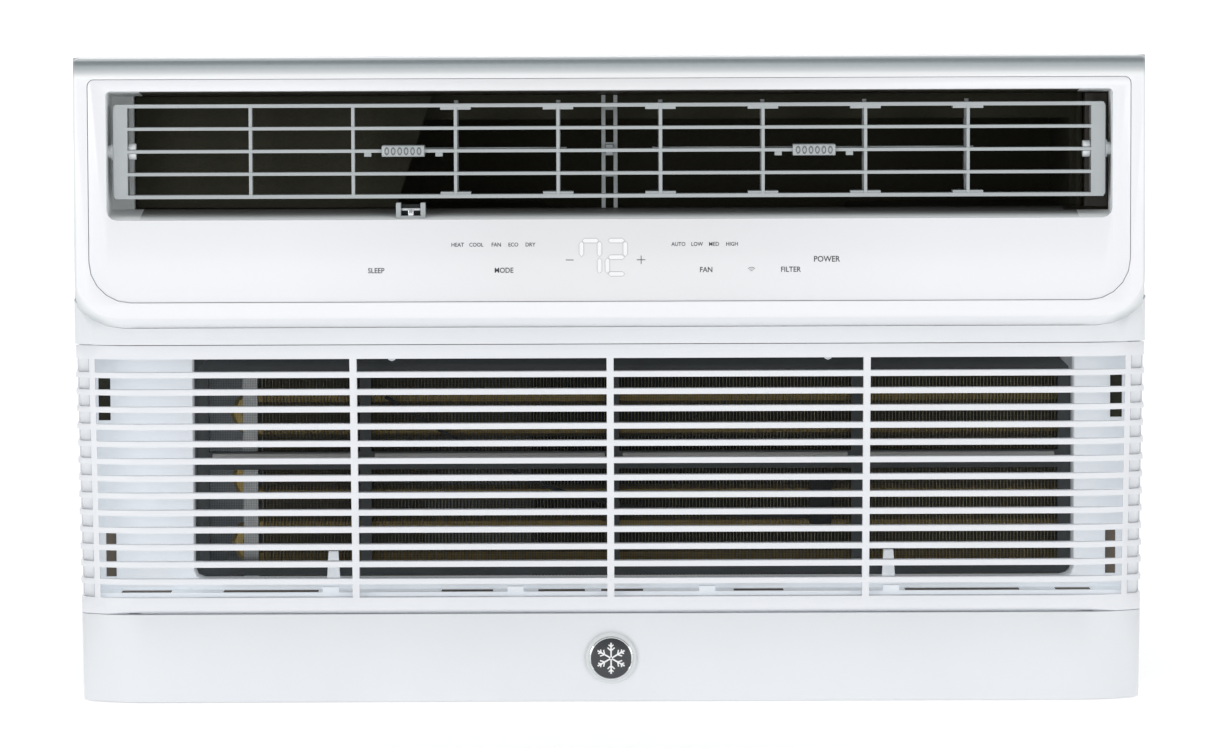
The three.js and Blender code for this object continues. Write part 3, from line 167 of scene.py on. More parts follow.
class Paint:
    def __init__(self, name, color, roughness=0.5, metallic=0.0, coat=0.0):
        self.material = bpy.data.materials.new(name)
        self.material.use_nodes = True
        self.tree = self.material.node_tree
        self.shader = self.tree.nodes["Principled BSDF"]
        self.set("Base Color", (*color, 1))
        self.set("Roughness", roughness)
        self.set("Metallic", metallic)
        self.set("Coat Weight", coat)

    def set(self, socket, value):
        target = self.shader.inputs[socket]
        if isinstance(value, Term):
            self.tree.links.new(value.socket, target)
        else:
            target.default_value = value

    def node(self, kind, settings=None, sockets=None):
        made = self.tree.nodes.new(kind)
        for name, value in (settings or {}).items():
            if name == "stops":
                while len(made.color_ramp.elements) < len(value):
                    made.color_ramp.elements.new(1)
                for element, (place, color) in zip(made.color_ramp.elements, value):
                    element.position = place
                    element.color = (*color, 1)
            else:
                setattr(made, name, value)
        for name, value in (sockets or {}).items():
            if isinstance(value, Term):
                self.tree.links.new(value.socket, made.inputs[name])
            else:
                made.inputs[name].default_value = value
        return made

    def place(self):
        return Term(self, self.node("ShaderNodeTexCoord").outputs["Object"])

    def axis(self, name):
        parts = self.node("ShaderNodeSeparateXYZ", sockets={0: self.place()})
        return Term(self, parts.outputs[name])

    def noise(self, scale, detail=3.0, stretch=(1, 1, 1)):
        spread = self.node("ShaderNodeMapping", sockets={"Vector": self.place(), "Scale": stretch})
        made = self.node("ShaderNodeTexNoise", sockets={
            "Vector": Term(self, spread.outputs[0]), "Scale": scale, "Detail": detail})
        return Term(self, made.outputs[0])

    def blend(self, share, low, high):
        made = self.node("ShaderNodeMix", {"data_type": "RGBA"}, {0: share})
        for index, color in ((6, low), (7, high)):
            if isinstance(color, Term):
                self.tree.links.new(color.socket, made.inputs[index])
            else:
                made.inputs[index].default_value = (*color, 1)
        return Term(self, made.outputs[2])

    def ramp(self, share, stops):
        made = self.node("ShaderNodeValToRGB", {"stops": stops}, {0: share})
        return Term(self, made.outputs[0])

    def span(self, value, low, high):
        made = self.node("ShaderNodeMapRange", sockets={0: value, 1: low, 2: high})
        return Term(self, made.outputs[0])

    def bump(self, height, strength, distance):
        made = self.node("ShaderNodeBump", sockets={
            "Height": height, "Strength": strength, "Distance": distance * MM})
        self.set("Normal", Term(self, made.outputs[0]))


# %% [markdown]
# ## Moulded plastics
# Injection-moulded white plastic is never one flat colour: it has a spark-eroded grain too fine to
# see as dots, a little cloudiness, and dust that settles on faces that look up. Noise on Object
# coordinates gives the grain to a Bump node and shifts the colour and the roughness by a few
# hundredths. The glossy pieces have a clear coat and a much weaker grain.


# %% Plastics
def plastic(name, color, roughness, grain=0.25, coat=0.0, cloud=0.03):
    paint = Paint(name, color, roughness, coat=coat)
    clouds = paint.noise(9.0, 4.0)
    darker = tuple(c * (1 - cloud * 2) for c in color)
    lighter = tuple(min(c * (1 + cloud), 1) for c in color)
    paint.set("Base Color", paint.blend(clouds, darker, lighter))
    paint.set("Roughness", clouds * 0.08 + (roughness - 0.04))
    paint.bump(paint.noise(2600.0, 1.0), grain, 0.05)
    return paint


def make_fascia_white():
    paint = Paint("fascia_gloss", (0.86, 0.875, 0.91), 0.22, coat=0.35)
    across = paint.axis("X")
    lens = paint.span(across.math("ABSOLUTE"), 0.20, 0.06)
    clouds = paint.noise(6.0)
    tone = paint.blend(lens, (0.86, 0.873, 0.91), (0.79, 0.796, 0.812))
    paint.set("Base Color", paint.blend(clouds * 0.25, tone, (0.9, 0.91, 0.94)))
    paint.set("Roughness", clouds * 0.06 + 0.2)
    paint.bump(paint.noise(1500.0, 1.0), 0.08, 0.03)
    return paint


def make_bezel_painted_shade(top, edge, bottom):
    paint = Paint("bezel_gloss", (0.86, 0.88, 0.91), 0.3, coat=0.25)
    height = paint.axis("Z")
    # Painted reflection: the rounded top edge turns grey towards the top, as if it mirrored a dark ceiling.
    stops = [(0.0, (0.9, 0.91, 0.94)), (0.30, (0.86, 0.88, 0.89)), (0.58, (0.40, 0.44, 0.46)),
             (0.85, (0.235, 0.275, 0.295)), (1.0, (0.27, 0.31, 0.33))]
    painted_top_reflection = paint.ramp(paint.span(height, top - 15 * MM, top), stops)
    clouds = paint.noise(300.0, 2.0)
    # Painted shade: the lower corners, the bottom bevel and the side edges are darkened where the surface
    # turns away from the light.
    beside = paint.axis("X").math("ABSOLUTE")
    out = beside - (edge - 28 * MM)
    down = (bottom + 34.4 * MM) - height
    reach = (out * out + down * down).math("SQRT")
    corner = paint.span(reach, 27.6 * MM, 33 * MM) * paint.span(out, 0.0, 14 * MM)
    corner = corner * paint.span(down, 0.0, 10 * MM)
    under = paint.span(height, bottom + 8 * MM, bottom + 5 * MM) * 0.16
    rim = paint.span(beside, edge - 1.6 * MM, edge - 0.3 * MM) * 0.6
    turned = (corner * 0.75).math("MAXIMUM", rim).math("MAXIMUM", under)
    shaded = paint.blend(turned, painted_top_reflection, (0.46, 0.52, 0.53))
    paint.set("Base Color", paint.blend(clouds * 0.1, shaded, (0.8, 0.82, 0.84)))
    paint.set("Metallic", paint.span(height, top - 10 * MM, top - 4 * MM) * 0.35)
    paint.set("Roughness", clouds * 0.05 + 0.28)
    paint.bump(paint.noise(2200.0, 1.0), 0.1, 0.03)
    return paint


shell_white = plastic("case_white", (0.82, 0.845, 0.875), 0.42)
grille_white = plastic("grille_white", (0.83, 0.85, 0.885), 0.36)
plate_white = plastic("plate_white", (0.87, 0.90, 0.93), 0.5)
# The plates glow a little although they are no lamp: painted light for the shaded recess behind the bars.
plate_white.set("Emission Color", (0.88, 0.94, 1.0, 1))
plate_white.set("Emission Strength", 0.24)
louver_silver = plastic("louver_silver", (0.45, 0.485, 0.495), 0.34, coat=0.1)
grip_grey = plastic("grip_grey", (0.17, 0.185, 0.19), 0.4, grain=0.05)
nylon_white = plastic("nylon_white", (0.82, 0.85, 0.87), 0.3, grain=0.1)
filter_dark = plastic("filter_dark", (0.032, 0.038, 0.040), 0.5, cloud=0.1)
filter_rail_highlight = plastic("filter_rail_highlight", (0.30, 0.30, 0.29), 0.4, cloud=0.08)
fan_black = plastic("fan_plastic", (0.03, 0.03, 0.034), 0.42, cloud=0.12)
rubber_black = plastic("rubber_black", (0.018, 0.018, 0.018), 0.8, grain=0.6, cloud=0.2)
print_grey = plastic("print_grey", (0.05, 0.055, 0.065), 0.5, grain=0.05, cloud=0.05)
digit_white = plastic("digit_white", (0.92, 0.93, 0.94), 0.4, grain=0.05, cloud=0.01)
digit_edge = plastic("digit_edge", (0.45, 0.47, 0.49), 0.4, grain=0.05)
badge_rim = plastic("badge_rim", (0.70, 0.73, 0.74), 0.3, grain=0.05, coat=0.3)
badge_black = plastic("badge_dark", (0.035, 0.04, 0.045), 0.25, grain=0.05, coat=0.4, cloud=0.15)


def make_duct_grey(lip, right):
    """Painted shade: pale at the lip and darker deeper inside, near black at the far right end and under the
    top.
    """
    paint = Paint("duct_grey", (0.5, 0.53, 0.54), 0.42)
    depth = paint.axis("Y") - lip
    # Painted shade: the floor and the side walls fade from pale at the lip to dark inside.
    floor = paint.ramp(paint.span(depth, 0.0, 36 * MM), [
        (0.0, (0.86, 0.88, 0.89)), (0.25, (0.62, 0.64, 0.65)), (0.6, (0.22, 0.225, 0.22)),
        (1.0, (0.09, 0.09, 0.08))])
    side = paint.ramp(paint.span(depth, 0.0, 40 * MM), [
        (0.0, (0.90, 0.92, 0.93)), (0.8, (0.80, 0.83, 0.84)), (1.0, (0.5, 0.52, 0.52))])
    walls = paint.axis("X").math("ABSOLUTE") > right - 22 * MM
    # Painted shade: the far right end deep inside and the strip under the top are painted near black.
    deep_right_shade = (paint.axis("X") > right - 30 * MM) * (depth > 24 * MM)
    top = (paint.axis("Z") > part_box("outlet_duct")[1].z - 12 * MM) * (depth > 4 * MM) * 0.92
    pale = paint.blend(walls, floor, side)
    clouds = paint.noise(40.0)
    dark = paint.blend(clouds, (0.035, 0.030, 0.022), (0.055, 0.047, 0.035))
    paint.set("Base Color", paint.blend(deep_right_shade.math("MAXIMUM", top * (1 - walls)), pale, dark))
    paint.set("Roughness", clouds * 0.1 + 0.36)
    paint.bump(paint.noise(2600.0, 1.0), 0.2, 0.05)
    return paint


duct_grey = make_duct_grey(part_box("outlet_duct")[0].y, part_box("outlet_duct")[1].x)
fascia_white = make_fascia_white()
bezel_painted_shade = make_bezel_painted_shade(cad_box[1][2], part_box("bezel")[1].x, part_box("bezel")[0].z)
print("plastics", len(bpy.data.materials))

# %% [markdown]
# ## Metals, foam, boards
# The chassis is hot-dip galvanised sheet, whose zinc crystals show as large pale patches: Voronoi
# cells, softened. Copper has brighter and browner stretches from bending and brazing. Foam is a dark
# granular surface with a strong bump. The thin fins take their darkness from the gaps between them.


# %% Metals and the rest
def metal(name, color, roughness, metallic=1.0, spread=0.25, scale=60.0, stretch=(1, 1, 1)):
    paint = Paint(name, color, roughness, metallic)
    patches = paint.noise(scale, 4.0, stretch)
    low = tuple(c * (1 - spread) for c in color)
    paint.set("Base Color", paint.blend(patches, low, color))
    paint.set("Roughness", patches * 0.2 + (roughness - 0.1))
    paint.bump(paint.noise(900.0, 2.0, stretch), 0.15, 0.05)
    return paint


def make_galvanised():
    paint = Paint("chassis_steel", (0.55, 0.57, 0.58), 0.42, 0.75)
    cells = paint.node("ShaderNodeTexVoronoi", sockets={"Vector": paint.place(), "Scale": 70.0})
    split = paint.node("ShaderNodeSeparateColor", sockets={0: Term(paint, cells.outputs["Color"])})
    tone = Term(paint, split.outputs[0])
    drift = paint.noise(7.0, 4.0)
    spangle = paint.blend(tone, (0.46, 0.48, 0.49), (0.60, 0.62, 0.63))
    paint.set("Base Color", paint.blend(drift * 0.35, spangle, (0.66, 0.67, 0.67)))
    paint.set("Roughness", tone * 0.16 + 0.34)
    paint.bump(drift, 0.05, 0.4)
    return paint


def make_foam():
    paint = Paint("foam_dark", (0.03, 0.025, 0.018), 0.95)
    grains = paint.noise(480.0, 2.0)
    paint.set("Base Color", paint.blend(grains, (0.026, 0.025, 0.014), (0.042, 0.040, 0.026)))
    paint.set("Roughness", grains * 0.1 + 0.86)
    paint.bump(grains, 0.6, 0.4)
    return paint


def make_board():
    paint = Paint("board_green", (0.05, 0.2, 0.09), 0.45)
    traces = paint.node("ShaderNodeTexVoronoi", {"distance": "CHEBYCHEV"},
                        {"Vector": paint.place(), "Scale": 260.0})
    lines = paint.span(Term(paint, traces.outputs["Distance"]), 0.25, 0.4)
    paint.set("Base Color", paint.blend(lines, (0.03, 0.13, 0.05), (0.06, 0.24, 0.11)))
    paint.set("Roughness", lines * 0.2 + 0.35)
    return paint


galvanised = make_galvanised()
guard_paint = plastic("guard_paint", (0.40, 0.42, 0.43), 0.5, grain=0.5)
foam = make_foam()
foam_brown_and_slot_shade = plastic("foam_brown_and_slot_shade", (0.20, 0.165, 0.13), 0.9, grain=0.6, cloud=0.15)
board = make_board()
fin_metal = metal("fin_aluminium", (0.66, 0.57, 0.34), 0.55, 0.1, spread=0.3, scale=30.0)
# The evaporator's copper is a brighter gold than the other pipes: a painted highlight for tubes that sit in
# shade between the fins.
coil_copper = metal("coil_copper", (0.90, 0.66, 0.22), 0.35, 0.5, spread=0.5, scale=45.0)
pipe_copper = metal("copper", (0.72, 0.36, 0.19), 0.28, 1.0, spread=0.4, scale=35.0)
bright_steel = metal("shaft_steel", (0.6, 0.6, 0.6), 0.25, 1.0, scale=200.0)
chrome = metal("chrome", (0.8, 0.82, 0.84), 0.12, 1.0, spread=0.08)
screw_zinc = metal("screw_zinc", (0.62, 0.62, 0.6), 0.3, 1.0, scale=300.0)
can_aluminium = metal("capacitor_can", (0.68, 0.68, 0.68), 0.3, 1.0, stretch=(1, 1, 8))
enamel_black = metal("compressor_black", (0.02, 0.02, 0.021), 0.35, 0.2, spread=0.3)
motor_grey = metal("motor_steel", (0.28, 0.29, 0.30), 0.4, 0.5)
print("materials", len(bpy.data.materials))

# %% [markdown]
# ## From solid to moulding
# A CAD solid has knife edges, and a real moulding has a small radius on every one of them. It is
# that radius which catches the light. `moulded` copies a node's mesh, merges its loose triangles,
# joins the flat ones, and rounds the edges with a Bevel modifier whose result becomes a plain mesh.
# The copy then stands for the node and rides on the same body.


# %% Helpers for pieces
def collect(name, mesh):
    piece = bpy.data.objects.new(name, mesh)
    bpy.context.scene.collection.objects.link(piece)
    return piece


def settle(piece):
    """Turns a piece with modifiers into a plain mesh."""
    seen = piece.evaluated_get(bpy.context.evaluated_depsgraph_get())
    mesh = bpy.data.meshes.new_from_object(seen)
    piece.modifiers.clear()
    piece.data = mesh
    return piece


def dress(piece, paint, body):
    piece.data.materials.clear()
    piece.data.materials.append(paint.material)
    for face in piece.data.polygons:
        face.material_index = 0
    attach(piece, body)
    return piece


def smooth(piece, angle=32):
    piece.data.shade_smooth()
    piece.data.set_sharp_from_angle(angle=math.radians(angle))


def moulded(node, paint, radius, segments=2, angle=30):
    mesh = nodes[node].data.copy()
    shape = bmesh.new()
    shape.from_mesh(mesh)
    bmesh.ops.remove_doubles(shape, verts=shape.verts, dist=0.004 * MM)
    bmesh.ops.dissolve_degenerate(shape, edges=shape.edges, dist=0.01 * MM)
    bmesh.ops.dissolve_limit(shape, angle_limit=math.radians(0.5), verts=shape.verts, edges=shape.edges)
    shape.to_mesh(mesh)
    shape.free()
    piece = collect(node + "_moulded", mesh)
    rounding = piece.modifiers.new("edges", "BEVEL")
    rounding.width = radius * MM
    rounding.segments = segments
    rounding.limit_method = "ANGLE"
    rounding.angle_limit = math.radians(angle)
    rounding.use_clamp_overlap = True
    settle(piece)
    smooth(piece)
    dress(piece, paint, body_of[node])
    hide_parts(node)
    return piece


# %% Mould the visible pieces
pieces = {}
for node, paint, radius in (
    ("bezel", bezel_painted_shade, 0.8), ("control_fascia", fascia_white, 0.35), ("front_housing", shell_white, 0.4),
    ("intake_grille", grille_white, 0.6), ("louver_frame", louver_silver, 0.35),
    ("inner_frame", plate_white, 0.5), ("filter_frame", filter_dark, 1.0),
    ("outlet_duct", duct_grey, 0.6), ("louver_bracket", louver_silver, 0.4),
    ("cabinet_wrapper", galvanised, 0.5), ("base_pan", galvanised, 0.6), ("rear_guard", guard_paint, 0.8),
    ("badge", badge_rim, 0.3), ("cord_gland", rubber_black, 0.6), ("pivot_pin_left", nylon_white, 0.4),
    ("pivot_pin_right", nylon_white, 0.4), ("left_thumb_tab", louver_silver, 0.5),
    ("right_thumb_tab", louver_silver, 0.5), ("left_tie_bar", louver_silver, 0.3),
    ("right_tie_bar", louver_silver, 0.3), ("compressor", enamel_black, 2.0), ("fan_motor", motor_grey, 1.5),
    ("blower_scroll", foam, 1.5), ("outlet_baffle", foam, 1.0), ("condenser_shroud", galvanised, 0.5),
    ("control_box", galvanised, 0.5), ("drain_pan", plate_white, 0.6), ("motor_bracket", galvanised, 0.5),
    ("partition", galvanised, 0.3), ("condenser_fan", fan_black, 0.6), ("blower_wheel", fan_black, 0.4),
    ("thermistor", rubber_black, 1.0), ("accumulator", pipe_copper, 1.5), ("capacitor", can_aluminium, 1.0),
):
    pieces[node] = moulded(node, paint, radius)
    print(node, len(pieces[node].data.polygons), "faces")
for side, count in (("left", 2), ("right", 4)):
    for i in range(count):
        node = f"{side}_vane_{i + 1}"
        pieces[node] = moulded(node, louver_silver, 0.3)

# %% [markdown]
# ## Pieces that keep their CAD shape
# Pipes, the shaft, the boards and the grommets are already the right shape, so they only take a
# finish. The materials go straight into the CAD objects' slots.


# %% Finish the carried-over solids
def keep(node, paint):
    mesh = nodes[node].data
    mesh.materials.clear()
    mesh.materials.append(paint.material)


for node, paint in (
    ("evaporator_tube", coil_copper), ("condenser_tube", pipe_copper), ("suction_pipe", pipe_copper),
    ("discharge_pipe", pipe_copper), ("motor_shaft", bright_steel), ("control_board", board),
    ("display_board", board), ("thermistor_lead", rubber_black), ("evaporator_end_plate_left", galvanised),
    ("evaporator_end_plate_right", galvanised), ("condenser_end_plate_left", galvanised),
    ("condenser_end_plate_right", galvanised), ("compressor_grommet_1", rubber_black),
    ("compressor_grommet_2", rubber_black), ("compressor_grommet_3", rubber_black),
):
    keep(node, paint)
    slot_name = slot_of[node]
    print(node, slot_name)

# %% [markdown]
# ## Rows of thin plates
# A fin pack is the same thin plate hundreds of times, and a net is the same thread. One Geometry
# Nodes tree makes both: a Mesh Line of points, a copy of the incoming mesh on each, scaled to a named
# size, then Realize Instances and Set Material. A modifier's input is set by the socket's identifier.


# %% The row tree
def new_tree(name, inputs):
    tree = bpy.data.node_groups.new(name, "GeometryNodeTree")
    tree.interface.new_socket("Geometry", in_out="INPUT", socket_type="NodeSocketGeometry")
    for label, kind in inputs:
        tree.interface.new_socket(label, in_out="INPUT", socket_type="NodeSocket" + kind)
    tree.interface.new_socket("Geometry", in_out="OUTPUT", socket_type="NodeSocketGeometry")
    return tree


def add(tree, kind, settings=None, links=None):
    made = tree.nodes.new(kind)
    for name, value in (settings or {}).items():
        setattr(made, name, value)
    for name, value in (links or {}).items():
        if isinstance(value, bpy.types.NodeSocket):
            tree.links.new(value, made.inputs[name])
        else:
            made.inputs[name].default_value = value
    return made


def make_row_tree():
    tree = new_tree("row_of_copies", [("Count", "Int"), ("Start", "Vector"), ("Step", "Vector"),
                                      ("Size", "Vector"), ("Finish", "Material")])
    given = add(tree, "NodeGroupInput").outputs
    line = add(tree, "GeometryNodeMeshLine", {"mode": "OFFSET"},
               {"Count": given["Count"], "Start Location": given["Start"], "Offset": given["Step"]})
    row = add(tree, "GeometryNodeInstanceOnPoints",
              links={"Points": line.outputs[0], "Instance": given["Geometry"], "Scale": given["Size"]})
    real = add(tree, "GeometryNodeRealizeInstances", links={0: row.outputs[0]})
    done = add(tree, "GeometryNodeSetMaterial",
               links={"Geometry": real.outputs[0], "Material": given["Finish"]})
    add(tree, "NodeGroupOutput", links={0: done.outputs[0]})
    return tree


def shaped(name, build):
    """A mesh made by a function that fills a bmesh."""
    shape = bmesh.new()
    build(shape)
    bmesh.ops.recalc_face_normals(shape, faces=shape.faces)
    mesh = bpy.data.meshes.new(name)
    shape.to_mesh(mesh)
    shape.free()
    return mesh


def unit_plate():
    return shaped("plate", lambda shape: bmesh.ops.create_cube(shape, size=1))


def grow(name, tree, base, values, body):
    """Runs a tree on a mesh and keeps the result as a plain piece."""
    piece = collect(name, base)
    modifier = piece.modifiers.new("grow", "NODES")
    modifier.node_group = tree
    for item in tree.interface.items_tree:
        if item.in_out == "INPUT" and item.name in values:
            modifier[item.identifier] = values[item.name]
    settle(piece)
    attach(piece, body)
    return piece


row_tree = make_row_tree()


def fin_pack(node, pitch, thick):
    low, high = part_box(node)
    count = int((high.x - low.x) / (pitch * MM))
    size = (thick * MM, high.y - low.y, high.z - low.z)
    start = (low.x + thick / 2 * MM, (low.y + high.y) / 2, (low.z + high.z) / 2)
    step = ((high.x - low.x - thick * MM) / (count - 1), 0, 0)
    values = {"Count": count, "Start": start, "Step": step, "Size": size, "Finish": fin_metal.material}
    piece = grow(node + "_stack", row_tree, unit_plate(), values, body_of[node])
    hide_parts(node)
    print(piece.name, count, "fins")
    return piece


fin_pack("evaporator_fins", 2.1, 0.22)
fin_pack("condenser_fins", 2.4, 0.22)

# %% [markdown]
# ## The filter's net
# The net is two rows of threads that cross, one along and one across. It lies in the frame's pocket,
# so its place and size come from the mesh sheet in the frame.


# %% The net
def make_net(node, pitch, thread):
    low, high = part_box(node)
    middle = (low + high) / 2
    size = high - low
    for axis in (0, 2):
        count = int(size[axis] / (pitch * MM))
        start = middle.copy()
        start[axis] = low[axis] + thread * MM
        step = Vector()
        step[axis] = (size[axis] - 2 * thread * MM) / (count - 1)
        extent = Vector((thread * MM, thread * MM, thread * MM))
        extent[2 - axis] = size[2 - axis]
        grow(f"{node}_{'xz'[axis // 2]}", row_tree, unit_plate(),
                            {"Count": count, "Start": start, "Step": step, "Size": extent,
                             "Finish": filter_dark.material}, body_of[node])
    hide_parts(node)


make_net("filter_mesh", 1.05, 0.13)

# %% [markdown]
# ## Small fittings
# The cross rail of the filter has a ridge in each of its four bays, painted pale grey as a painted highlight
# on its top face. A small clip stands on the outlet's floor beside the foam panel, brown sheets under the
# floor slots of the inner frame are painted shade, and foam seals fill its side holes. All are rounded
# blocks, each given by its two corners in millimetres.


# %% Ridges, clip, slot shade and seals
def block(name, corners, radius, paint, body):
    low, high = (Vector(corner) * MM for corner in corners)
    mesh = unit_plate()
    mesh.transform(Matrix.Translation((low + high) / 2) @ Matrix.Diagonal((*(high - low), 1)))
    piece = collect(name, mesh)
    rounding = piece.modifiers.new("edges", "BEVEL")
    rounding.width = radius * MM
    rounding.segments = 3
    settle(piece)
    smooth(piece)
    return dress(piece, paint, body)


filter_low, filter_high = (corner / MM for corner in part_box("filter_frame"))
rail_z = (filter_low.z + filter_high.z) / 2 + 6.9
bays = [(filter_low.x + 10, -157.5), (-146.5, -3.5), (7.5, 147.5), (158.5, filter_high.x - 10)]
# The ridges are painted light grey: a painted highlight on their top faces.
for i, (left, right) in enumerate(bays):
    corners = ((left, filter_low.y - 0.9, rail_z - 1.7), (right, filter_low.y + 1, rail_z + 1.7))
    block(f"filter_ridge_{i + 1}", corners, 0.8, filter_rail_highlight, "filter")

duct_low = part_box("outlet_duct")[0] / MM
clip_z = duct_low.z + 2.9
for name, corners, paint in (
    ("left_cheek", ((-130.5, duct_low.y + 2, clip_z), (-127.5, duct_low.y + 14, clip_z + 9.6)),
     louver_silver),
    ("right_cheek", ((-115.5, duct_low.y + 2, clip_z), (-112.5, duct_low.y + 14, clip_z + 9.6)),
     louver_silver),
    ("back", ((-128, duct_low.y + 11, clip_z), (-115, duct_low.y + 13, clip_z + 8.4)), filter_dark),
    ("sill", ((-128, duct_low.y + 2.5, clip_z), (-115, duct_low.y + 9, clip_z + 1.6)), louver_silver),
    ("spring", ((-127.6, duct_low.y + 6, clip_z + 4.6), (-115.4, duct_low.y + 7.6, clip_z + 6.2)), chrome),
    ("tongue", ((-123.2, duct_low.y + 4, clip_z + 1), (-119.8, duct_low.y + 6.5, clip_z + 5.6)), chrome),
):
    block("ledge_clip_" + name, corners, 0.4, paint, "machine")

frame_low, frame_high = (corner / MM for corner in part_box("inner_frame"))
slots = [(-303, -272), (-240, -181), (-105, -73), (-45, -16), (-6, 20), (76, 107), (182, 253), (275, 297)]
# Painted shade: brown sheets under the floor slots make the slots look shadowed.
for i, (left, right) in enumerate(slots):
    corners = ((left, -245, 64), (right, -230.5, 66.5))
    block(f"floor_slot_shade_{i + 1}", corners, 0.3, foam_brown_and_slot_shade, "machine")
for side in (-1, 1):
    near, far = sorted((side * (frame_high.x - 1), side * (frame_high.x - 15)))
    for name, low_z, high_z, paint in (("upper", 170, 203, foam), ("lower", 72, 105, foam_brown_and_slot_shade)):
        corners = ((near, frame_low.y + 22.8, low_z), (far, frame_low.y + 24.5, high_z))
        block(f"side_seal_{name}_{'right' if side > 0 else 'left'}", corners, 0.3, paint,
              "machine")
print("ridges", len(bays))

# %% [markdown]
# ## Print on the control panel
# The labels are printed in grey under the touch surface. Blender's own letters are turned into a
# flat mesh, scaled to the height of their capitals, stood upright and laid a few hundredths of a
# millimetre in front of the panel. Only the places are listed, in millimetres from the middle of
# the panel and up from its lower edge.


# %% Labels
panel_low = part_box("control_fascia")[0]


def flat_piece(name, mesh, x, z, paint, lift=0.1):
    """Stands a mesh drawn in X and Y upright in front of the panel."""
    stand = Matrix.Rotation(math.pi / 2, 4, "X")
    place = Matrix.Translation((x * MM, panel_low.y - lift * MM, panel_low.z + z * MM))
    mesh.transform(place @ stand)
    piece = collect(name, mesh)
    return dress(piece, paint, "machine")


def label(text, x, z, capital):
    curve = bpy.data.curves.new("label_" + text.lower(), "FONT")
    curve.body = text
    curve.align_x = "CENTER"
    curve.align_y = "CENTER"
    curve.resolution_u = 3
    curve.offset = 0.012
    holder = collect("letters", curve)
    mesh = bpy.data.meshes.new_from_object(holder.evaluated_get(bpy.context.evaluated_depsgraph_get()))
    bpy.data.objects.remove(holder)
    tall = max(v.co.y for v in mesh.vertices) - min(v.co.y for v in mesh.vertices)
    mesh.transform(Matrix.Diagonal((capital * MM / tall * 0.93, capital * MM / tall, 1, 1)))
    return flat_piece(f"label_{text.lower()}_{round(x + 400)}", mesh, x, z, print_grey)


for text, x in (("HEAT", -92.8), ("COOL", -81.4), ("FAN", -69.2), ("ECO", -58.8), ("DRY", -48.4),
                ("AUTO", 42.0), ("LOW", 53.3), ("MED", 63.7), ("HIGH", 74.7)):
    label(text, x, 34.6, 2.4)
for text, x in (("SLEEP", -142.6), ("MODE", -64.6), ("FAN", 58.9), ("FILTER", 110.5)):
    label(text, x, 18.9, 3.2)
label("POWER", 132.5, 25.2, 3.6)

# %% [markdown]
# ## The two lit digits
# A seven-segment digit is seven bars with mitred ends. Each lit bar is one six-sided face, and the
# same face a little larger in grey behind it gives the fine rim round it. The plus, the minus and
# the signal arcs are drawn in the same way, from short bars.


# %% Digits and signs
def bar_face(shape, x0, z0, x1, z1, width):
    """A six-sided bar from one point to another, pointed at both ends."""
    start = Vector((x0, z0)) * MM
    end = Vector((x1, z1)) * MM
    along = (end - start).normalized() * width / 2 * MM
    side = Vector((-along.y, along.x))
    corners = [start, start + along + side, end - along + side, end, end - along - side, start + along - side]
    shape.faces.new([shape.verts.new((corner.x, corner.y, 0)) for corner in reversed(corners)])


SEGMENTS = {"a": (0, 2, 1, 2), "b": (1, 2, 1, 1), "c": (1, 1, 1, 0), "d": (0, 0, 1, 0),
            "e": (0, 0, 0, 1), "f": (0, 1, 0, 2), "g": (0, 1, 1, 1)}


def digit(lit, x, z, wide, tall, width, grow_by):
    def build(shape):
        for segment in lit:
            u0, v0, u1, v1 = SEGMENTS[segment]
            ends = Vector(((u1 - u0) * wide, (v1 - v0) * tall / 2)).normalized() * (0.55 - grow_by)
            bar_face(shape, u0 * wide + ends.x, v0 * tall / 2 + ends.y,
                     u1 * wide - ends.x, v1 * tall / 2 - ends.y, width + 2 * grow_by)
    mesh = shaped("digit", build)
    rim = grow_by > 0
    return flat_piece(f"digit_{lit}_{'rim' if rim else 'light'}", mesh, x, z,
                      digit_edge if rim else digit_white, 0.08 if rim else 0.14)


for lit, x in (("fabc", -17.2), ("abged", -1.4)):
    digit(lit, x, 16.6, 11.0, 20.4, 2.5, 0.32)
    digit(lit, x, 16.6, 11.0, 20.4, 2.5, 0.0)


def signs(shape):
    for x0, z0, x1, z1 in ((-26.9, 0, -21.9, 0), (16.5, 0, 21.9, 0), (19.2, -2.7, 19.2, 2.7)):
        bar_face(shape, x0, z0, x1, z1, 0.45)


def arcs(shape):
    for radius in (1.0, 2.0, 3.0):
        for i in range(6):
            turns = [math.radians(45 + 15 * (i + k)) for k in (0, 1)]
            ends = [(radius * math.cos(t), radius * math.sin(t)) for t in turns]
            bar_face(shape, *ends[0], *ends[1], 0.42)


flat_piece("sign_plus_minus", shaped("signs", signs), 0, 25.2, print_grey)
flat_piece("sign_signal", shaped("arcs", arcs), 86.6, 17.4, print_grey)
print("digits 72")

# %% [markdown]
# ## The round badge
# The badge is a pale rim with a dark glossy disc in it, edged with a bright ring. A plain six-armed
# snow crystal stands on the disc. One arm is drawn, and a second tree turns copies of it
# round the middle.


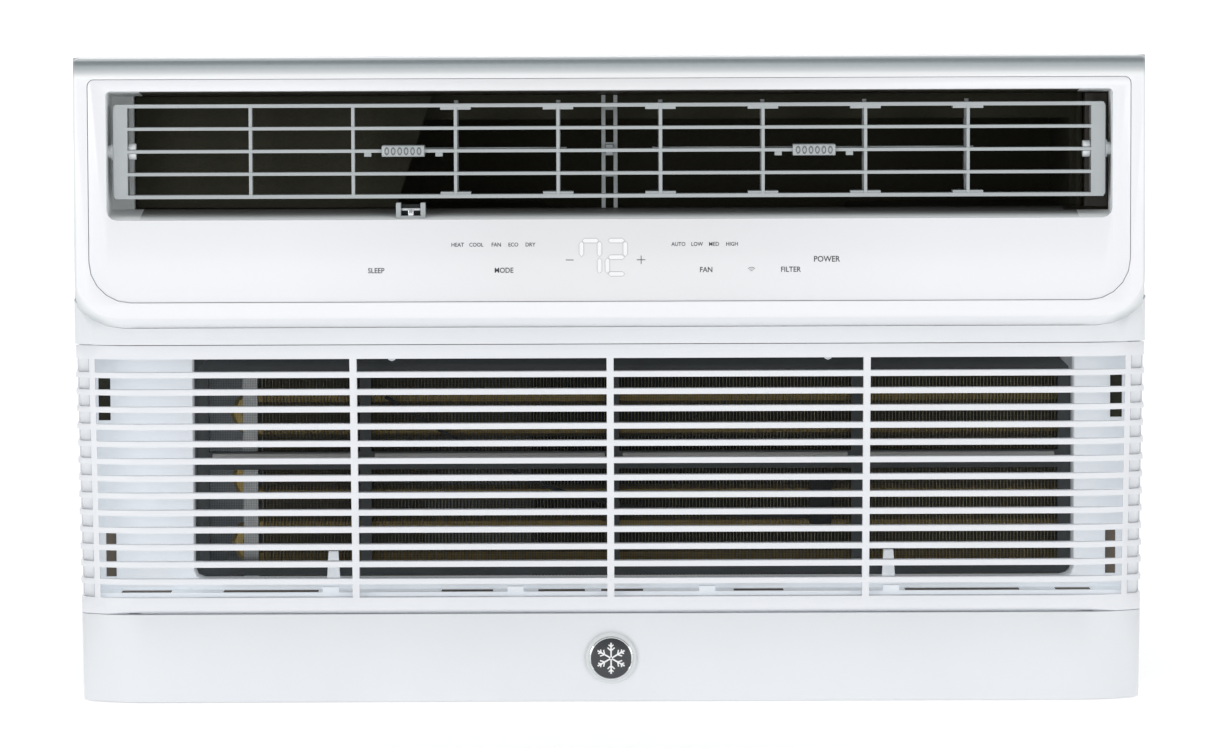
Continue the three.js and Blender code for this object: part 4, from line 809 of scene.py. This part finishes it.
# %% Badge
def make_ring_tree():
    tree = new_tree("ring_of_copies", [("Count", "Int"), ("Centre", "Vector"), ("Axis", "Vector"),
                                       ("Finish", "Material")])
    given = add(tree, "NodeGroupInput").outputs
    points = add(tree, "GeometryNodePoints", links={"Count": given["Count"], "Position": given["Centre"]})
    index = add(tree, "GeometryNodeInputIndex")
    part = add(tree, "ShaderNodeMath", {"operation": "DIVIDE"}, {0: index.outputs[0], 1: given["Count"]})
    angle = add(tree, "ShaderNodeMath", {"operation": "MULTIPLY"}, {0: part.outputs[0], 1: 2 * math.pi})
    turn = add(tree, "FunctionNodeAxisAngleToRotation",
               links={"Axis": given["Axis"], "Angle": angle.outputs[0]})
    copies = add(tree, "GeometryNodeInstanceOnPoints",
                 links={"Points": points.outputs[0], "Instance": given["Geometry"],
                        "Rotation": turn.outputs[0]})
    real = add(tree, "GeometryNodeRealizeInstances", links={0: copies.outputs[0]})
    done = add(tree, "GeometryNodeSetMaterial",
               links={"Geometry": real.outputs[0], "Material": given["Finish"]})
    add(tree, "NodeGroupOutput", links={0: done.outputs[0]})
    return tree


ring_tree = make_ring_tree()


def lathed(profile, sides=64):
    """A closed ring or disc: radius and depth in millimetres, turned about Y."""
    def build(shape):
        rings = []
        for radius, depth in profile:
            ring = []
            for i in range(sides):
                angle = 2 * math.pi * i / sides
                x, z = radius * MM * math.cos(angle), radius * MM * math.sin(angle)
                ring.append(shape.verts.new((x, depth * MM, z)))
            rings.append(ring)
        for one, two in zip(rings, rings[1:] + rings[:1]):
            for i in range(sides):
                shape.faces.new((one[i], one[(i + 1) % sides], two[(i + 1) % sides], two[i]))
    return shaped("lathed", build)


def crystal_arm(shape):
    def stroke(x0, z0, x1, z1, width):
        start, end = Vector((x0, 0, z0)) * MM, Vector((x1, 0, z1)) * MM
        side = (end - start).normalized().cross(Vector((0, 1, 0))) * width / 2 * MM
        front = Vector((0, -0.25 * MM, 0))
        flat = [start + side, end + side, end - side, start - side]
        back = [shape.verts.new(p) for p in flat]
        ridge = [shape.verts.new(p + front) for p in (start * 0.98 + end * 0.02, end * 0.98 + start * 0.02)]
        shape.faces.new(back)
        for quad in ((back[0], back[1], ridge[1], ridge[0]), (back[2], back[3], ridge[0], ridge[1]),
                     (back[1], back[2], ridge[1]), (back[3], back[0], ridge[0])):
            shape.faces.new(quad)
    stroke(0, 0.5, 0, 9.6, 1.0)
    for side in (-1, 1):
        stroke(0, 4.6, 2.2 * side, 6.6, 0.8)
        stroke(0, 7.0, 1.5 * side, 8.4, 0.8)


badge_low, badge_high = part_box("badge")
badge_middle = (badge_low + badge_high) / 2
badge_middle.y = badge_low.y


def on_badge(name, mesh, lift, paint):
    mesh.transform(Matrix.Translation(badge_middle - Vector((0, lift * MM, 0))))
    piece = dress(collect(name, mesh), paint, "machine")
    smooth(piece)
    return piece


disc = [(0.05, 0.0), (13.0, 0.0), (13.0, -0.15), (12.7, -0.3), (6.0, -0.42), (0.05, -0.45)]
on_badge("badge_disc", lathed(disc), 0.0, badge_black)
rim = [(12.7, 0.0), (12.5, -0.55), (12.9, -0.75), (13.35, -0.55), (13.4, 0.0)]
on_badge("badge_ring", lathed(rim), 0.0, chrome)
crystal = grow("badge_crystal", ring_tree, shaped("arm", crystal_arm),
               {"Count": 6, "Centre": badge_middle - Vector((0, 0.42 * MM, 0)), "Axis": (0, 1, 0),
                "Finish": digit_white.material}, "machine")
print("badge", len(crystal.data.polygons), "faces in the crystal")

# %% [markdown]
# ## Grip on the thumb tabs
# Six small oval rings on each tab stop a thumb from slipping. They stand in a row, so the row tree
# repeats one oval ring.


# %% Grip
def oval_ring(shape):
    sides = 18
    rings = []
    for radius, depth in ((1.0, 0.0), (0.9, -0.35), (0.68, -0.35), (0.58, 0.0)):
        rings.append([shape.verts.new((1.45 * radius * MM * math.cos(2 * math.pi * i / sides), depth * MM,
                                       2.5 * radius * MM * math.sin(2 * math.pi * i / sides)))
                      for i in range(sides)])
    for one, two in zip(rings, rings[1:] + rings[:1]):
        for i in range(sides):
            shape.faces.new((one[i], one[(i + 1) % sides], two[(i + 1) % sides], two[i]))


for side in ("left", "right"):
    low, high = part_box(f"{side}_thumb_tab")
    pitch = (high.x - low.x) / 6.6
    start = Vector(((low.x + high.x) / 2 - 2.5 * pitch, low.y, (low.z + high.z) / 2))
    grip = grow(f"{side}_tab_grip", row_tree, shaped("oval", oval_ring),
                {"Count": 6, "Start": start, "Step": (pitch, 0, 0), "Size": (1, 1, 1),
                 "Finish": grip_grey.material}, f"{side}_slider")
    print(grip.name, len(grip.data.polygons))

# %% [markdown]
# ## Screws
# Sheet-metal screws with a hexagon head and a washer hold the steel cover to its pan and the cover's
# top to the cross members. One head is turned, and rows of it are grown along each seam.


# %% Screws
def screw_head(outward):
    """A hexagon head on a washer, standing along a direction."""
    def build(shape):
        rings = []
        for is_washer, radius, height in (
            (1, 4.6, 0), (1, 4.6, 0.7), (0, 3.4, 0.8), (0, 3.4, 2.2), (0, 2.7, 2.5)
        ):
            ring = []
            for i in range(12):
                angle = 2 * math.pi * i / 12
                bite = 1 if is_washer else 1 - 0.1 * (i % 2)
                ring.append(shape.verts.new((radius * bite * MM * math.cos(angle),
                                             radius * bite * MM * math.sin(angle), height * MM)))
            rings.append(ring)
        for one, two in zip(rings, rings[1:]):
            for i in range(12):
                shape.faces.new((one[i], one[(i + 1) % 12], two[(i + 1) % 12], two[i]))
        shape.faces.new(rings[0])
        shape.faces.new(rings[-1])
    mesh = shaped("screw", build)
    mesh.transform(Vector((0, 0, 1)).rotation_difference(Vector(outward)).to_matrix().to_4x4())
    return mesh


def screw_row(name, outward, start, step, count):
    return grow(name, row_tree, screw_head(outward),
                {"Count": count, "Start": start, "Step": step, "Size": (1, 1, 1),
                 "Finish": screw_zinc.material}, "machine")


cover_low, cover_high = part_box("cabinet_wrapper")
run = cover_high.y - cover_low.y
for name, x, outward in (("left", cover_low.x, (-1, 0, 0)), ("right", cover_high.x, (1, 0, 0))):
    start = (x, cover_low.y + 0.1 * run, cover_low.z + 9 * MM)
    screw_row(f"screws_{name}_foot", outward, start, (0, run * 0.2, 0), 5)
for name, y in (("front", cover_low.y + 14 * MM), ("back", cover_high.y - 14 * MM)):
    screw_row(f"screws_top_{name}", (0, 0, 1), (cover_low.x * 0.88, y, cover_high.z),
              ((cover_high.x - cover_low.x) * 0.22, 0, 0), 5)
print("screws 20")

# %% [markdown]
# ## The floor
# A pale floor carries the soft shadow, and a white wall far behind closes the room. Both are wider
# than any view of the machine.


# %% Floor and wall
def stage_sheet(name, corners, color, glow):
    mesh = bpy.data.meshes.new(name)
    mesh.from_pydata(corners, [], [(0, 1, 2, 3)])
    sheet = collect(name, mesh)
    paint = Paint(name, (color, color, color), 0.8)
    paint.set("Base Color", paint.blend(paint.noise(3.0), (color * 0.98,) * 3, (color,) * 3))
    paint.set("Emission Color", (1, 1, 1, 1))
    paint.set("Emission Strength", glow)
    sheet.data.materials.append(paint.material)


REACH = 12
UNDER = -0.5 * MM
WALL_Y = 7
stage_sheet("floor", [(-REACH, -REACH, UNDER), (REACH, -REACH, UNDER), (REACH, REACH, UNDER),
                      (-REACH, REACH, UNDER)], 0.86, 0.42)
stage_sheet("wall", [(-REACH, WALL_Y, UNDER), (REACH, WALL_Y, UNDER), (REACH, WALL_Y, REACH),
                     (-REACH, WALL_Y, REACH)], 0.86, 0.95)

# %% Print the CAD box
print("cad", cad_box)
